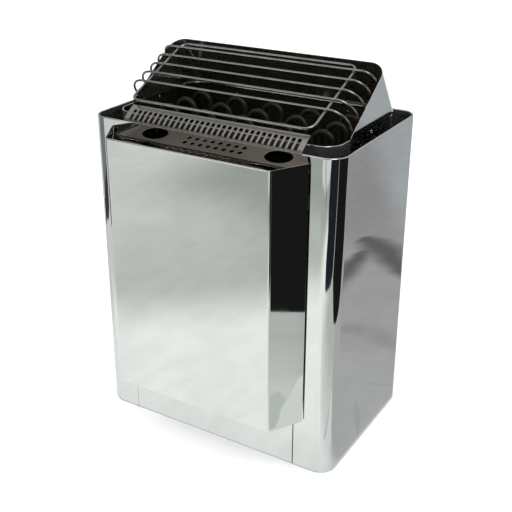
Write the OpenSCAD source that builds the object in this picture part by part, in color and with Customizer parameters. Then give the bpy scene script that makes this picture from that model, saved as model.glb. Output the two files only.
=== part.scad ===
// Electric sauna heater: polished sheet casing, open stone tub with tubular
// elements, hot-air cover on the front, leaning rear guard and a lift-off wire
// guard.  Millimetres, +Z up, front towards -Y.

/* [Casing] */
// Overall width of the casing
casing_w = 410; // [404:1:420]
// Depth of the casing, front wall to back wall
casing_d = 265.5; // [264:0.5:275]
// Height of the casing rim above the floor
casing_h = 494; // [490:1:498]
// Outside radius of the casing's upright corners
casing_r = 25.5; // [23:0.5:27]
// Half width of the access panel below the cover
access_hw = 145.5; // [140:0.5:150]
// Height of the access panel
access_h = 96; // [94:1:98]

/* [Front cover] */
// How far the cover stands out from the casing
cover_d = 54; // [50:1:58]
// Half width of the cover's front face
cover_front = 133.5; // [128:0.5:138]
// Half width of the cover next to the casing
cover_back = 163; // [160:0.5:168]
// Height of the cover's lower edge
cover_z0 = 86; // [80:1:90]
// Height of the cover's upper edge
cover_z1 = 484.2; // [480:0.2:486]
// Fall of the perforated top per unit of depth, towards the casing
cover_fall = 0.26; // [0.22:0.01:0.28]
// Round vents in each row of the cover's top
vent_count = 8; // [6:1:9]
// Diameter of a round vent
vent_dia = 6.9; // [5:0.1:8]

/* [Air deflector] */
// Half length of the slotted strip
strip_hw = 147; // [144:0.5:148]
// Number of slots
slot_count = 31; // [25:1:31]
// Width of a slot
slot_w = 5.6; // [4:0.1:6]

/* [Stone tub and guard] */
// Depth of the stone tub
tub_depth = 211.85; // [208:0.05:212]
// Outside corner radius of the tub
tub_r = 29; // [27:0.5:30]
// Forward lean of the rear guard, degrees
guard_lean = 34.7; // [34:0.1:35.5]
// Rod diameter of the guard frame
frame_dia = 4; // [3.5:0.1:4.5]
// Diameter of the cross wires
wire_dia = 3.5; // [3:0.1:4]

/* [Heating elements] */
// Tube diameter
tube_dia = 8; // [7.5:0.1:8]
// Spacing of the upright runs
tube_pitch = 32.75; // [32:0.05:33]
// Top of the upper bends
tube_top = 499; // [494:1:500]

/* [Hidden] */
$fn = 48;

t = 1;                       // sheet thickness
e = 0.5;                     // overshoot of a cut
hw = casing_w / 2;
head_h = 2;                  // height of a screw head on the back
y_off = (casing_d + head_h - cover_d) / 2;   // front wall to the frame's origin

tub_hw = hw - 22.2;          // outside half width of the tub
tub_y0 = 28.65;              // outside face of the tub's front
tub_y1 = tub_y0 + tub_depth;
tub_z0 = 148;
tub_z1 = casing_h + 4.3;

guard_in = tub_hw + 0.1;     // inside face of a wing
guard_out = guard_in + t;
foot_in = guard_in + 0.1;    // a wing's foot, set in a little from both faces
foot_out = guard_out - 0.1;
guard_y = tub_y1 + 0.1 + t;  // outside face of the guard's back at its foot
guard_r = 26;                // outside radius of the guard's corners
fold_z = casing_h + 6;       // height where the guard starts to lean
guard_len = 95.5;            // length of the leaning back
wing_y = 76;                 // front edge of a wing at the tub
wing_slope = guard_lean;     // the guard's upper edge is cut square to its back
wing_z = fold_z + guard_len * cos(guard_lean)
    + (wing_y - guard_y + guard_len * sin(guard_lean)) * tan(guard_lean);

loop_slope = 22.6;           // slope of the wire guard
loop_hw = 149;
loop_y = 100;                // point of the guard frame's plane
loop_z = casing_h + 55.5;
loop_y0 = 26.9;
loop_y1 = 163.5;
loop_r = 14;
wire_y0 = 150;               // rearmost cross wire
wire_step = 21.25;
wire_x = tub_hw - 3.4;       // middle of a wire's bent-down end
wire_r = 26;                 // bend radius of a wire's end
hook = 5;                    // how far the ends reach behind the wing's edge

rows = [98, 142, 186];       // depth of the three elements
plate_z = tub_z0 + t;        // element plate, lower face
plate_t = 1.5;
pin_z = 112;
leg_z = 128;                 // lower end of an element's tube
leg_x = 4.5 * tube_pitch;
bend_r = tube_pitch / 2;
top_z = tube_top - bend_r - tube_dia / 2;
low_z = 210;

base_z = 36;                 // base plate, lower face
screw_x = 157.5;             // rear panel screws
screw_zs = [60, 245, 430];
fix_x = 90;                  // wall fixing holes
fix_zs = [110, 410];
rivet_xs = [-120, -40, 40, 120];
rivet_z = casing_h - 28.5;
gland_p = [-120, 200];
limiter_p = [80, 121];
earth_p = [-135, 150];

steel = "#c6cacb";
satin = "#a9a69d";
dark = "#54565a";

// ---- helpers ---------------------------------------------------------------

module place() { translate([0, -y_off, 0]) children(); }

// profile drawn in depth and height, drawn out along the width
module along_x(half) {
    rotate([90, 0, 90]) translate([0, 0, -half]) linear_extrude(2 * half) children();
}

// upright walls of a rounded rectangle: flat sides and quarter-round corners
module walls(x1, y0, y1, r, w, z0, z1) {
    h = z1 - z0;
    for (x = [-x1, x1 - w]) translate([x, y0 + r, z0]) cube([w, y1 - y0 - 2 * r, h]);
    for (y = [y0, y1 - w]) translate([-(x1 - r), y, z0]) cube([2 * (x1 - r), w, h]);
    for (c = [[x1 - r, y1 - r, 0], [-(x1 - r), y1 - r, 90],
              [-(x1 - r), y0 + r, 180], [x1 - r, y0 + r, 270]])
        translate([c[0], c[1], z0]) rotate([0, 0, c[2]])
            rotate_extrude(angle = 90, $fn = 96) translate([r - w, 0]) square([w, h]);
}

// sheet of thickness w folded along a line of points
function unit_n(a, b) = let (d = b - a) [-d[1], d[0]] / norm(d);
function side_pt(p, i, h) =
    i == 0 ? p[0] + h * unit_n(p[0], p[1]) :
    i == len(p) - 1 ? p[i] + h * unit_n(p[i - 1], p[i]) :
    let (a = unit_n(p[i - 1], p[i]), b = unit_n(p[i], p[i + 1]))
        p[i] + h * (a + b) / (1 + a * b);
function folded(p, w) = concat(
    [for (i = [0 : len(p) - 1]) side_pt(p, i, w / 2)],
    [for (i = [len(p) - 1 : -1 : 0]) side_pt(p, i, -w / 2)]);

function oval(a, b) = [for (k = [0 : 47]) [a * cos(k * 7.5), b * sin(k * 7.5)]];

module dome(rb, h) {
    r = (rb * rb + h * h) / (2 * h);
    intersection() {
        translate([0, 0, h - r]) sphere(r);
        translate([-rb - 1, -rb - 1, 0]) cube([2 * rb + 2, 2 * rb + 2, h + 1]);
    }
}

// rivet along +Z, its dome above z = 0
module rivet(grip) {
    dome(3.2, 1.3);
    translate([0, 0, -grip]) cylinder(d = 3.2, h = grip);
    translate([0, 0, -grip - 0.9]) cylinder(d = 5.2, h = 0.9);
}

// slotted pan-head screw along +Z, its head above z = 0
module screw(d, head_d, head, len) {
    difference() {
        cylinder(d = head_d, h = head);
        translate([-head_d, -0.5, head - 0.8]) cube([2 * head_d, 1, 2]);
    }
    translate([0, 0, -len]) cylinder(d = d, h = len);
}

module hex(af, h) { cylinder(d = af / cos(30), h = h, $fn = 6); }

// ---- casing ----------------------------------------------------------------

module outer_casing() color(steel) place() difference() {
    union() {
        walls(hw, 0, casing_d, casing_r, t, 0, casing_h);
        // folded rim, left out where the deflector's flange takes its place
        difference() {
            walls(hw - t, t, casing_d - t, casing_r - t, 2, casing_h - 8, casing_h);
            translate([-150, 0, casing_h - 20]) cube([300, 6, 40]);
        }
        for (x = [-hw + t, hw - t - 14])
            translate([x, casing_r, 0]) cube([14, casing_d - 2 * casing_r, t]);
        translate([-(hw - casing_r), casing_d - t - 14, 0]) cube([2 * (hw - casing_r), 14, t]);
    }
    translate([-access_hw, -e, -e]) cube([2 * access_hw, t + 2 * e, access_h + e]);
    translate([-150, casing_d - t - e, 30]) cube([300, t + 2 * e, 430]);
    for (s = [-1, 1]) translate([s * 100, -e, access_h + 4]) rotate([-90, 0, 0])
        cylinder(d = 3.7, h = t + 2 * e);
    for (s = [-1, 1], z = screw_zs) translate([s * screw_x, casing_d - t - e, z])
        rotate([-90, 0, 0]) cylinder(d = 3.7, h = t + 2 * e);
    for (x = rivet_xs) translate([x, -e, rivet_z]) rotate([-90, 0, 0])
        cylinder(d = 3.3, h = t + 2 * e);
}

module lower_front_panel() color(steel) place() difference() {
    union() {
        translate([-access_hw + 0.4, 0, 0]) cube([2 * access_hw - 0.8, t, access_h - 0.4]);
        translate([-120, t, access_h - 12]) cube([240, t, 24]);
        for (x = [-access_hw - 8, access_hw - 10]) translate([x, t, 15]) cube([18, t, 60]);
        translate([-140 + 5, t, 0]) cube([270, 13, t]);
    }
    for (s = [-1, 1]) translate([s * 100, 0, access_h + 4]) rotate([-90, 0, 0])
        cylinder(d = 3.7, h = 4);
}

module access_panel_screws() color(dark) place()
    for (s = [-1, 1]) translate([s * 100, 0, access_h + 4]) rotate([90, 0, 0])
        screw(3.5, 7, 2.2, 8);

module rear_panel() color(steel) place() difference() {
    translate([-165, casing_d - 2 * t, 20]) cube([330, t, 450]);
    for (s = [-1, 1], z = screw_zs) translate([s * screw_x, casing_d - 4, z])
        rotate([-90, 0, 0]) cylinder(d = 3.7, h = 8);
    for (s = [-1, 1], z = fix_zs) translate([s * fix_x, casing_d - 4, z])
        rotate([-90, 0, 0]) cylinder(d = 7, h = 8);
    // cooling louvres
    for (x = [-110 : 20 : 110], z = [200, 300]) translate([x - 3, casing_d - 4, z])
        cube([6, 8, 50]);
}

module rear_panel_screws() color(dark) place()
    for (s = [-1, 1], z = screw_zs) translate([s * screw_x, casing_d, z])
        rotate([-90, 0, 0]) screw(3.5, 7, head_h, 8);

// ---- front cover -----------------------------------------------------------

cover_y = -cover_d;                       // outside of the cover's front
cover_gap = 2;                            // air line between cover and casing
fold_r = 5;
side_v = [cover_back - cover_front, cover_d - cover_gap];
side_a = atan2(side_v[1], side_v[0]);
fold_l = fold_r * tan(side_a / 2);
// point at distance s from the side's rear edge and n inside its outer face
function side_p(s, n) = [cover_back - s * cos(side_a) - n * sin(side_a),
                         -cover_gap - s * sin(side_a) + n * cos(side_a)];
function fall_z(y) = cover_z1 - cover_fall * (y + cover_d);

// half of the cover's plan outline at distance n inside its outer face
function cover_half(n) = concat(
    [for (k = [0 : 10]) let (a = -90 + side_a * k / 10)
        [cover_front - fold_l, cover_y + fold_r] + (fold_r - n) * [cos(a), sin(a)]],
    [side_p(0, n)]);
function flip(p) = [for (k = [len(p) - 1 : -1 : 0]) [-p[k][0], p[k][1]]];
function turn(p) = [for (k = [len(p) - 1 : -1 : 0]) p[k]];

module front_cover() color(steel) place() difference() {
    union() {
        // front and both sides, folded from one sheet
        translate([0, 0, cover_z0]) linear_extrude(cover_z1 - cover_z0) polygon(concat(
            flip(cover_half(0)), cover_half(0), turn(cover_half(t)), turn(flip(cover_half(t)))));
        // stiffening return along the lower edge
        translate([-(cover_front - 5), cover_y + t, cover_z0]) cube([2 * (cover_front - 5), 8, t]);
        // perforated top, falling towards the casing
        intersection() {
            along_x(hw) polygon([[cover_y + t / 2, fall_z(cover_y + t / 2)], [-1.5, fall_z(-1.5)],
                [-1.5, fall_z(-1.5) - 1.05], [cover_y + t / 2, fall_z(cover_y + t / 2) - 1.05]]);
            translate([0, 0, cover_z1 - 60]) linear_extrude(100) polygon([
                [-cover_front + 4.5, cover_y], [cover_front - 4.5, cover_y],
                [cover_front - 4.5, cover_y + 2], [cover_front - 1, cover_y + 4],
                [cover_back - 2, -1.5], [-cover_back + 2, -1.5],
                [-cover_front + 1, cover_y + 4], [-cover_front + 4.5, cover_y + 2]]);
        }
    }
    for (s = [-1, 1]) translate([s * 103, -22, cover_z1 - 40]) linear_extrude(60)
        polygon(oval(21, 14.7));
    for (k = [0 : vent_count - 1], y = [-27, -14.5])
        translate([(k - (vent_count - 1) / 2) * 13.15, y, cover_z1 - 40])
            cylinder(d = vent_dia, h = 60);
}

module cover_bracket() {
    n1 = t + 0.1; n2 = 2 * t + 0.1;
    s1 = (-cover_gap + n1 * cos(side_a)) / sin(side_a);
    s2 = (-cover_gap + t + n2 * cos(side_a)) / sin(side_a);
    linear_extrude(20) polygon([[128, 0], [128, -t], side_p(s2, n2), side_p(35, n2),
        side_p(35, n1), side_p(s1, n1)]);
}

module cover_brackets() color(steel) place()
    for (z = [120, 420]) translate([0, 0, z]) { cover_bracket(); mirror([1, 0, 0]) cover_bracket(); }

// ---- air deflector ---------------------------------------------------------

module air_deflector() color(satin) place() difference() {
    along_x(strip_hw) polygon(folded([[1.5 * t, casing_h - 35], [1.5 * t, casing_h - 8],
        [8, casing_h + 2], [19, casing_h + 10], [30, casing_h + 16.5]], t));
    for (k = [0 : slot_count - 1])
        translate([(k - (slot_count - 1) / 2) * 9.05 - slot_w / 2, 7, casing_h - 10])
            cube([slot_w, 15.5, 40]);
    for (x = rivet_xs) translate([x, 0, rivet_z]) rotate([-90, 0, 0]) cylinder(d = 3.3, h = 4);
}

module deflector_rivets() color(satin) place()
    for (x = rivet_xs) translate([x, 0, rivet_z]) rotate([90, 0, 0]) rivet(2 * t);

// ---- stone tub -------------------------------------------------------------

side_rivet = [141, casing_h - 2];
back_rivet = [100, casing_h - 9];

module rivet_holes() {
    translate([-hw, side_rivet[0], side_rivet[1]]) rotate([0, 90, 0]) cylinder(d = 3.3, h = 2 * hw);
    for (s = [-1, 1]) translate([s * back_rivet[0], tub_y1 - 5, back_rivet[1]])
        rotate([-90, 0, 0]) cylinder(d = 3.3, h = 20);
}

tub_screws = [for (s = [-1, 1], y = [80, 170]) [s * (tub_hw - 9.8), y]];

module stone_tub() color(steel) place() difference() {
    union() {
        walls(tub_hw, tub_y0, tub_y1, tub_r, t, tub_z0, tub_z1);
        walls(tub_hw - t, tub_y0 + t, tub_y1 - t, tub_r - t, 1.2, tub_z1 - 2.8, tub_z1);
        for (x = [-tub_hw + t, tub_hw - t - 15])
            translate([x, tub_y0 + tub_r, tub_z0]) cube([15, tub_depth - 2 * tub_r, t]);
        for (y = [tub_y0 + t, tub_y1 - t - 15])
            translate([-(tub_hw - tub_r), y, tub_z0]) cube([2 * (tub_hw - tub_r), 15, t]);
    }
    rivet_holes();
    for (p = tub_screws) translate([p[0], p[1], tub_z0 - 1]) cylinder(d = 4.2, h = 4);
}

module tub_bracket() {
    x0 = tub_hw; x1 = hw - t; w = 1.5;
    rotate([90, 0, 0]) linear_extrude(30) polygon([[x0, 300], [x0, 330], [x0 + w, 330],
        [x0 + w, 300 + w], [x1, 300 + w], [x1, 270], [x1 - w, 270], [x1 - w, 300]]);
}

module tub_brackets() color(satin) place()
    for (y = [90, 190]) translate([0, y, 0]) { tub_bracket(); mirror([1, 0, 0]) tub_bracket(); }

module stone_rods(z, d) for (k = [-8 : 8]) if (abs(k) != 7)
    translate([k * 21, tub_y0 + 9, z]) rotate([-90, 0, 0]) cylinder(d = d, h = tub_depth - 18);

rail_z = 164.4;
module stone_grate() color(dark) place() {
    stone_rods(rail_z + 7.5, 5);
    for (y = [80, 164]) translate([-(tub_hw - 7), y, rail_z + 2.6]) rotate([0, 90, 0])
        cylinder(d = 5.2, h = 2 * (tub_hw - 7));
}

module grate_rail() {
    x = tub_hw - t;
    translate([x - 18, tub_y0 + 34, rail_z - t]) cube([18, 144, t]);
    translate([x - t, tub_y0 + 34, rail_z - 13]) cube([t, 144, 12]);
}
module grate_rails() color(satin) place() { grate_rail(); mirror([1, 0, 0]) grate_rail(); }

// ---- rear guard ------------------------------------------------------------

// foot of a wing, upright against the tub; it stops short of the bend
module wing_foot() {
    yb = guard_y - guard_r / cos(guard_lean) - 4;
    translate([foot_in, wing_y, fold_z - 30]) cube([foot_out - foot_in, yb - wing_y, 30]);
}

// half of the guard's plan outline at distance n inside its outer face
function guard_half(n) = concat(
    [[guard_out - n, -190]],
    [for (k = [0 : 12]) [guard_out - guard_r, -guard_r] + (guard_r - n) * [cos(7.5 * k), sin(7.5 * k)]]);

// back, bends and wings, folded from one sheet and leaning forward
module leaning_sheet() intersection() {
    translate([0, guard_y, fold_z]) rotate([guard_lean, 0, 0]) translate([0, 0, -160])
        linear_extrude(guard_len + 160) polygon(concat(guard_half(0), flip(guard_half(0)),
            turn(flip(guard_half(t))), turn(guard_half(t))));
    translate([-300, wing_y, fold_z]) cube([600, 300, 200]);
}

module rear_guard() color(steel) place() difference() {
    union() {
        leaning_sheet();
        wing_foot();
        mirror([1, 0, 0]) wing_foot();
        // upright flange on the tub's back
        translate([-(tub_hw - tub_r), guard_y - t, fold_z - 30]) cube([2 * (tub_hw - tub_r), t, 30]);
    }
    rivet_holes();
}

module guard_rivets() color(satin) place() {
    for (m = [0, 1]) mirror([m, 0, 0]) translate([foot_out, side_rivet[0], side_rivet[1]])
        rotate([0, 90, 0]) rivet(foot_out - tub_hw + t);
    for (s = [-1, 1]) translate([s * back_rivet[0], guard_y, back_rivet[1]])
        rotate([-90, 0, 0]) rivet(2 * t + 0.1);
}

// ---- wire guard ------------------------------------------------------------

function loop_at(y) = loop_z + tan(loop_slope) * (y - loop_y);

module guard_frame() color(satin) place()
    translate([0, loop_y, loop_z]) rotate([loop_slope, 0, 0]) {
        a = (loop_y0 - loop_y) / cos(loop_slope);
        b = (loop_y1 - loop_y) / cos(loop_slope);
        x = loop_hw; r = loop_r;
        for (y = [a, b]) translate([-(x - r), y, 0]) rotate([0, 90, 0])
            cylinder(d = frame_dia, h = 2 * (x - r));
        for (s = [-x, x]) translate([s, a + r, 0]) rotate([-90, 0, 0])
            cylinder(d = frame_dia, h = b - a - 2 * r);
        for (c = [[x - r, b - r, 0], [-(x - r), b - r, 90], [-(x - r), a + r, 180], [x - r, a + r, 270]])
            translate([c[0], c[1], 0]) rotate([0, 0, c[2]])
                rotate_extrude(angle = 90) translate([r, 0]) circle(d = frame_dia);
    }

// cross wire number k, counted from the back
module cross_wire(k) {
    lift = (frame_dia + wire_dia) / 2;
    y = wire_y0 - wire_step * (k - 1);
    p = [y - lift * sin(loop_slope), loop_at(y) + lift * cos(loop_slope)];
    drop = cos(wing_slope) * (p[1] - wing_z) - sin(wing_slope) * (p[0] - wing_y) + hook;
    r = min(wire_r, floor(drop - 4));
    // local -Y runs down along the bent ends
    translate([0, p[0], p[1]]) rotate([90 + wing_slope, 0, 0]) {
        translate([-(wire_x - r), 0, 0]) rotate([0, 90, 0]) cylinder(d = wire_dia, h = 2 * (wire_x - r));
        for (m = [0, 1]) mirror([m, 0, 0]) {
            translate([wire_x - r, -r, 0]) rotate_extrude(angle = 90) translate([r, 0]) circle(d = wire_dia);
            translate([wire_x, -r, 0]) rotate([90, 0, 0]) cylinder(d = wire_dia, h = drop - r);
        }
    }
}
module guard_wire_1() color(satin) place() cross_wire(1);
module guard_wire_2() color(satin) place() cross_wire(2);
module guard_wire_3() color(satin) place() cross_wire(3);
module guard_wire_4() color(satin) place() cross_wire(4);
module guard_wire_5() color(satin) place() cross_wire(5);

// ---- heating elements ------------------------------------------------------

module heating_element(y) translate([0, y, 0]) {
    for (k = [-4.5 : 1 : 4.5]) {
        z0 = abs(k) > 4 ? leg_z : low_z;
        translate([k * tube_pitch, 0, z0]) cylinder(d = tube_dia, h = top_z - z0);
    }
    for (k = [-4 : 2 : 4]) translate([k * tube_pitch, 0, top_z]) rotate([90, 0, 0])
        rotate_extrude(angle = 180) translate([bend_r, 0]) circle(d = tube_dia);
    for (k = [-3 : 2 : 3]) translate([k * tube_pitch, 0, low_z]) rotate([-90, 0, 0])
        rotate_extrude(angle = 180) translate([bend_r, 0]) circle(d = tube_dia);
}
module heating_element_front() color(dark) place() heating_element(rows[0]);
module heating_element_middle() color(dark) place() heating_element(rows[1]);
module heating_element_rear() color(dark) place() heating_element(rows[2]);

ends = [for (s = [-1, 1], y = rows) [s * leg_x, y]];

module element_plate() color(satin) place() difference() {
    union() {
        translate([-(tub_hw - 5), tub_y0 + 31, plate_z]) cube([2 * (tub_hw - 5), tub_depth - 62, plate_t]);
        translate([-(tub_hw - 31), tub_y0 + 5, plate_z]) cube([2 * (tub_hw - 31), tub_depth - 10, plate_t]);
    }
    for (p = ends) translate([p[0], p[1], plate_z - 1]) cylinder(d = 14.2, h = 4);
    for (p = tub_screws) translate([p[0], p[1], plate_z - 1]) cylinder(d = 4.3, h = 4);
    // air inlets between the elements
    for (y = [60, 120, 164, 212], x = [-130, 10]) translate([x, y - 7, plate_z - 1]) cube([120, 14, 4]);
}

module plate_screws() color(satin) place()
    for (p = tub_screws) translate([p[0], p[1], plate_z + plate_t]) screw(4, 8, 2.4, 10);

module element_glands() color("#b8964f") place() for (p = ends) translate([p[0], p[1], 0]) difference() {
    union() {
        translate([0, 0, plate_z + plate_t]) cylinder(d = 18, h = 5);
        translate([0, 0, plate_z - 12]) cylinder(d = 14, h = 12 + plate_t);
    }
    translate([0, 0, plate_z - 20]) cylinder(d = tube_dia + 0.1, h = 40);
}

module element_nuts() color("#b8964f") place() for (p = ends) translate([p[0], p[1], plate_z - 7]) difference() {
    hex(20, 7);
    translate([0, 0, -1]) cylinder(d = 14.1, h = 10);
}

module ceramic_beads() color("#ece8dc") place() for (p = ends) translate([p[0], p[1], leg_z - 7]) difference() {
    cylinder(d = 7.5, h = 7);
    translate([0, 0, -1]) cylinder(d = 3.1, h = 9);
}

module terminal_pins() color(satin) place() for (p = ends) translate([p[0], p[1], pin_z])
    cylinder(d = 3, h = leg_z - pin_z);

module star_link() color("#b8964f") place() difference() {
    translate([-leg_x - 4, rows[0] - 7, pin_z + 2]) cube([8, rows[2] - rows[0] + 14, 2]);
    for (y = rows) translate([-leg_x, y, pin_z]) cylinder(d = 3.1, h = 8);
}

// lead from the terminal block to the pin at depth y, leaving the block at x
module lead(x, y) {
    r = 5; z = 45; d = 3; y1 = 195;
    translate([x, y + r, z]) rotate([-90, 0, 0]) cylinder(d = d, h = y1 - y - r);
    translate([x + r, y + r, z]) rotate([0, 0, 180]) rotate_extrude(angle = 90) translate([r, 0]) circle(d = d);
    translate([x + r, y, z]) rotate([0, 90, 0]) cylinder(d = d, h = leg_x - x - 2 * r);
    translate([leg_x - r, y, z + r]) rotate([90, 0, 0]) rotate([0, 0, -90])
        rotate_extrude(angle = 90) translate([r, 0]) circle(d = d);
    translate([leg_x, y, z + r]) cylinder(d = d, h = pin_z - z - r);
}
module lead_wires() color("#7c2f22") place() for (k = [0 : 2]) lead(-20 + 20 * k, rows[k]);

// ---- base and electrics ----------------------------------------------------

module base_plate() color(satin) place() difference() {
    union() {
        translate([-(hw - t), casing_r, base_z]) cube([2 * (hw - t), casing_d - 2 * casing_r, t]);
        translate([-(hw - casing_r - 1), 3, base_z]) cube([2 * (hw - casing_r - 1), casing_d - 6, t]);
        for (x = [-(hw - t), hw - 2 * t])
            translate([x, casing_r + 1, base_z - 20]) cube([t, casing_d - 2 * casing_r - 2, 20]);
    }
    for (s = [-1, 1], k = [0 : 2]) translate([s * (160 + 15 * k) - 4, 60, base_z - 1]) cube([8, 140, 4]);
    for (k = [-4 : 4]) translate([k * 14 - 3, 30, base_z - 1]) cube([6, 36, 4]);
    translate([gland_p[0], gland_p[1], base_z - 1]) cylinder(d = 20.2, h = 4);
    translate([limiter_p[0], limiter_p[1], base_z - 1]) cylinder(d = 9.2, h = 4);
    translate([earth_p[0], earth_p[1], base_z - 1]) cylinder(d = 6.2, h = 4);
}

poles = [for (k = [-2 : 2], y = [201, 213]) [20 * k, y]];
module terminal_block() color("#ded9cc") place() difference() {
    union() {
        translate([-50, 195, base_z + t]) cube([100, 24, 12]);
        for (k = [-2 : 2]) translate([20 * k - 8, 195, base_z + t + 12]) cube([16, 24, 9]);
    }
    for (p = poles) translate([p[0], p[1], base_z + t + 11]) cylinder(d = 5, h = 20);
}
module terminal_screws() color(satin) place() for (p = poles) translate([p[0], p[1], base_z + t + 11])
    difference() {
        cylinder(d = 4.8, h = 7);
        translate([-4, -0.5, 5.8]) cube([8, 1, 3]);
    }

module earth_stud() color("#b8964f") place() translate([earth_p[0], earth_p[1], 0]) {
    translate([0, 0, base_z - 4]) hex(10, 4);
    translate([0, 0, base_z]) cylinder(d = 6, h = 22);
    translate([0, 0, base_z + t]) difference() {
        union() { cylinder(d = 14, h = 1.5); translate([0, 0, 1.5]) hex(10, 5); }
        translate([0, 0, -1]) cylinder(d = 6.1, h = 12);
    }
}

module gland_body() color(dark) place() translate([gland_p[0], gland_p[1], 0]) difference() {
    union() {
        translate([0, 0, base_z - 12]) hex(24, 12);
        translate([0, 0, base_z]) cylinder(d = 20, h = 12);
    }
    translate([0, 0, base_z - 13]) cylinder(d = 13, h = 30);
}
module gland_cap() color(dark) place() translate([gland_p[0], gland_p[1], 0]) difference() {
    union() {
        translate([0, 0, 12]) hex(24, 12);
        translate([0, 0, 8]) cylinder(d1 = 17, d2 = 23, h = 4);
    }
    translate([0, 0, 7]) cylinder(d = 11, h = 18);
}
module gland_locknut() color(dark) place() translate([gland_p[0], gland_p[1], base_z + t]) difference() {
    hex(26, 5);
    translate([0, 0, -1]) cylinder(d = 20.1, h = 8);
}

module limiter_body() color("#3b3d40") place() translate([limiter_p[0], limiter_p[1], 0]) difference() {
    union() {
        translate([-20, -15, base_z + t]) cube([40, 30, 40]);
        translate([0, 0, base_z - 9]) cylinder(d = 9, h = 9 + t);
    }
    translate([0, 0, base_z - 10]) cylinder(d = 5.1, h = 19);
}
module limiter_nut() color(satin) place() translate([limiter_p[0], limiter_p[1], base_z - 5]) difference() {
    hex(14, 5);
    translate([0, 0, -1]) cylinder(d = 9.1, h = 8);
}
module reset_button() color("#a8231d") place() translate([limiter_p[0], limiter_p[1], 0]) {
    translate([0, 0, base_z - 12]) cylinder(d = 5, h = 16);
    translate([0, 0, base_z - 15]) cylinder(d1 = 6.4, d2 = 8, h = 3);
}

bulb_x = tub_hw + 5.2;
module sensor_bulb() color("#b4793f") place() translate([0, limiter_p[1], 0]) {
    zc = 60; r = 10; x0 = limiter_p[0] + 20;
    translate([bulb_x, 0, 350]) cylinder(d = 6, h = 80);
    translate([bulb_x, 0, zc + r]) cylinder(d = 2, h = 350 - zc - r);
    translate([bulb_x - r, 0, zc + r]) rotate([90, 0, 0]) rotate([0, 0, -90])
        rotate_extrude(angle = 90) translate([r, 0]) circle(d = 2);
    translate([x0, 0, zc]) rotate([0, 90, 0]) cylinder(d = 2, h = bulb_x - r - x0);
}
module bulb_clips() color(satin) place() for (z = [362, 410]) translate([0, limiter_p[1], z]) difference() {
    union() {
        translate([bulb_x, 0, 0]) cylinder(d = 9, h = 8);
        translate([tub_hw, -4.5, 0]) cube([bulb_x - tub_hw, 9, 8]);
    }
    translate([bulb_x, 0, -1]) cylinder(d = 6.1, h = 10);
}

outer_casing();
lower_front_panel();
access_panel_screws();
rear_panel();
rear_panel_screws();
front_cover();
cover_brackets();
air_deflector();
deflector_rivets();
stone_tub();
tub_brackets();
rear_guard();
guard_rivets();
guard_frame();
guard_wire_1();
guard_wire_2();
guard_wire_3();
guard_wire_4();
guard_wire_5();
stone_grate();
grate_rails();
heating_element_front();
heating_element_middle();
heating_element_rear();
element_plate();
plate_screws();
element_glands();
element_nuts();
ceramic_beads();
terminal_pins();
star_link();
lead_wires();
base_plate();
terminal_block();
terminal_screws();
earth_stud();
gland_body();
gland_cap();
gland_locknut();
limiter_body();
limiter_nut();
reset_button();
sensor_bulb();
bulb_clips();
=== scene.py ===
import math

import bmesh
import bpy
import numpy as np
from mathutils import Matrix, Vector
from mathutils.geometry import delaunay_2d_cdt


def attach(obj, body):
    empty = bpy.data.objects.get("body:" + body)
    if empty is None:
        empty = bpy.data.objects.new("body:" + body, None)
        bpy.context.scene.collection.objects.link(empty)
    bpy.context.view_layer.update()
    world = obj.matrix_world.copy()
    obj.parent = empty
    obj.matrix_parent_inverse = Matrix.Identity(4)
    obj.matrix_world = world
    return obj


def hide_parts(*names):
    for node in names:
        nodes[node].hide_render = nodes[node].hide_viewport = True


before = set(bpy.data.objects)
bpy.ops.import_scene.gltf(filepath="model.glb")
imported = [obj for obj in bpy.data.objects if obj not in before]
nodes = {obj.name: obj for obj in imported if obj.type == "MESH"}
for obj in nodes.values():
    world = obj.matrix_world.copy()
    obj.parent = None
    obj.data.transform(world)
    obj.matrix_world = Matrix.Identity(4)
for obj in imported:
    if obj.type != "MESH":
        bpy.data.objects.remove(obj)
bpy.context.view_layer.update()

# Shapes are drawn in millimetres with the casing's front wall at Y = 0; the row
# frame's origin lies Y_OFF behind that wall.
Y_OFF = 106.75


def to_row(p):
    return (p[0] * 0.001, (p[1] - Y_OFF) * 0.001, p[2] * 0.001)


# ---- materials ---------------------------------------------------------------


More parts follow.
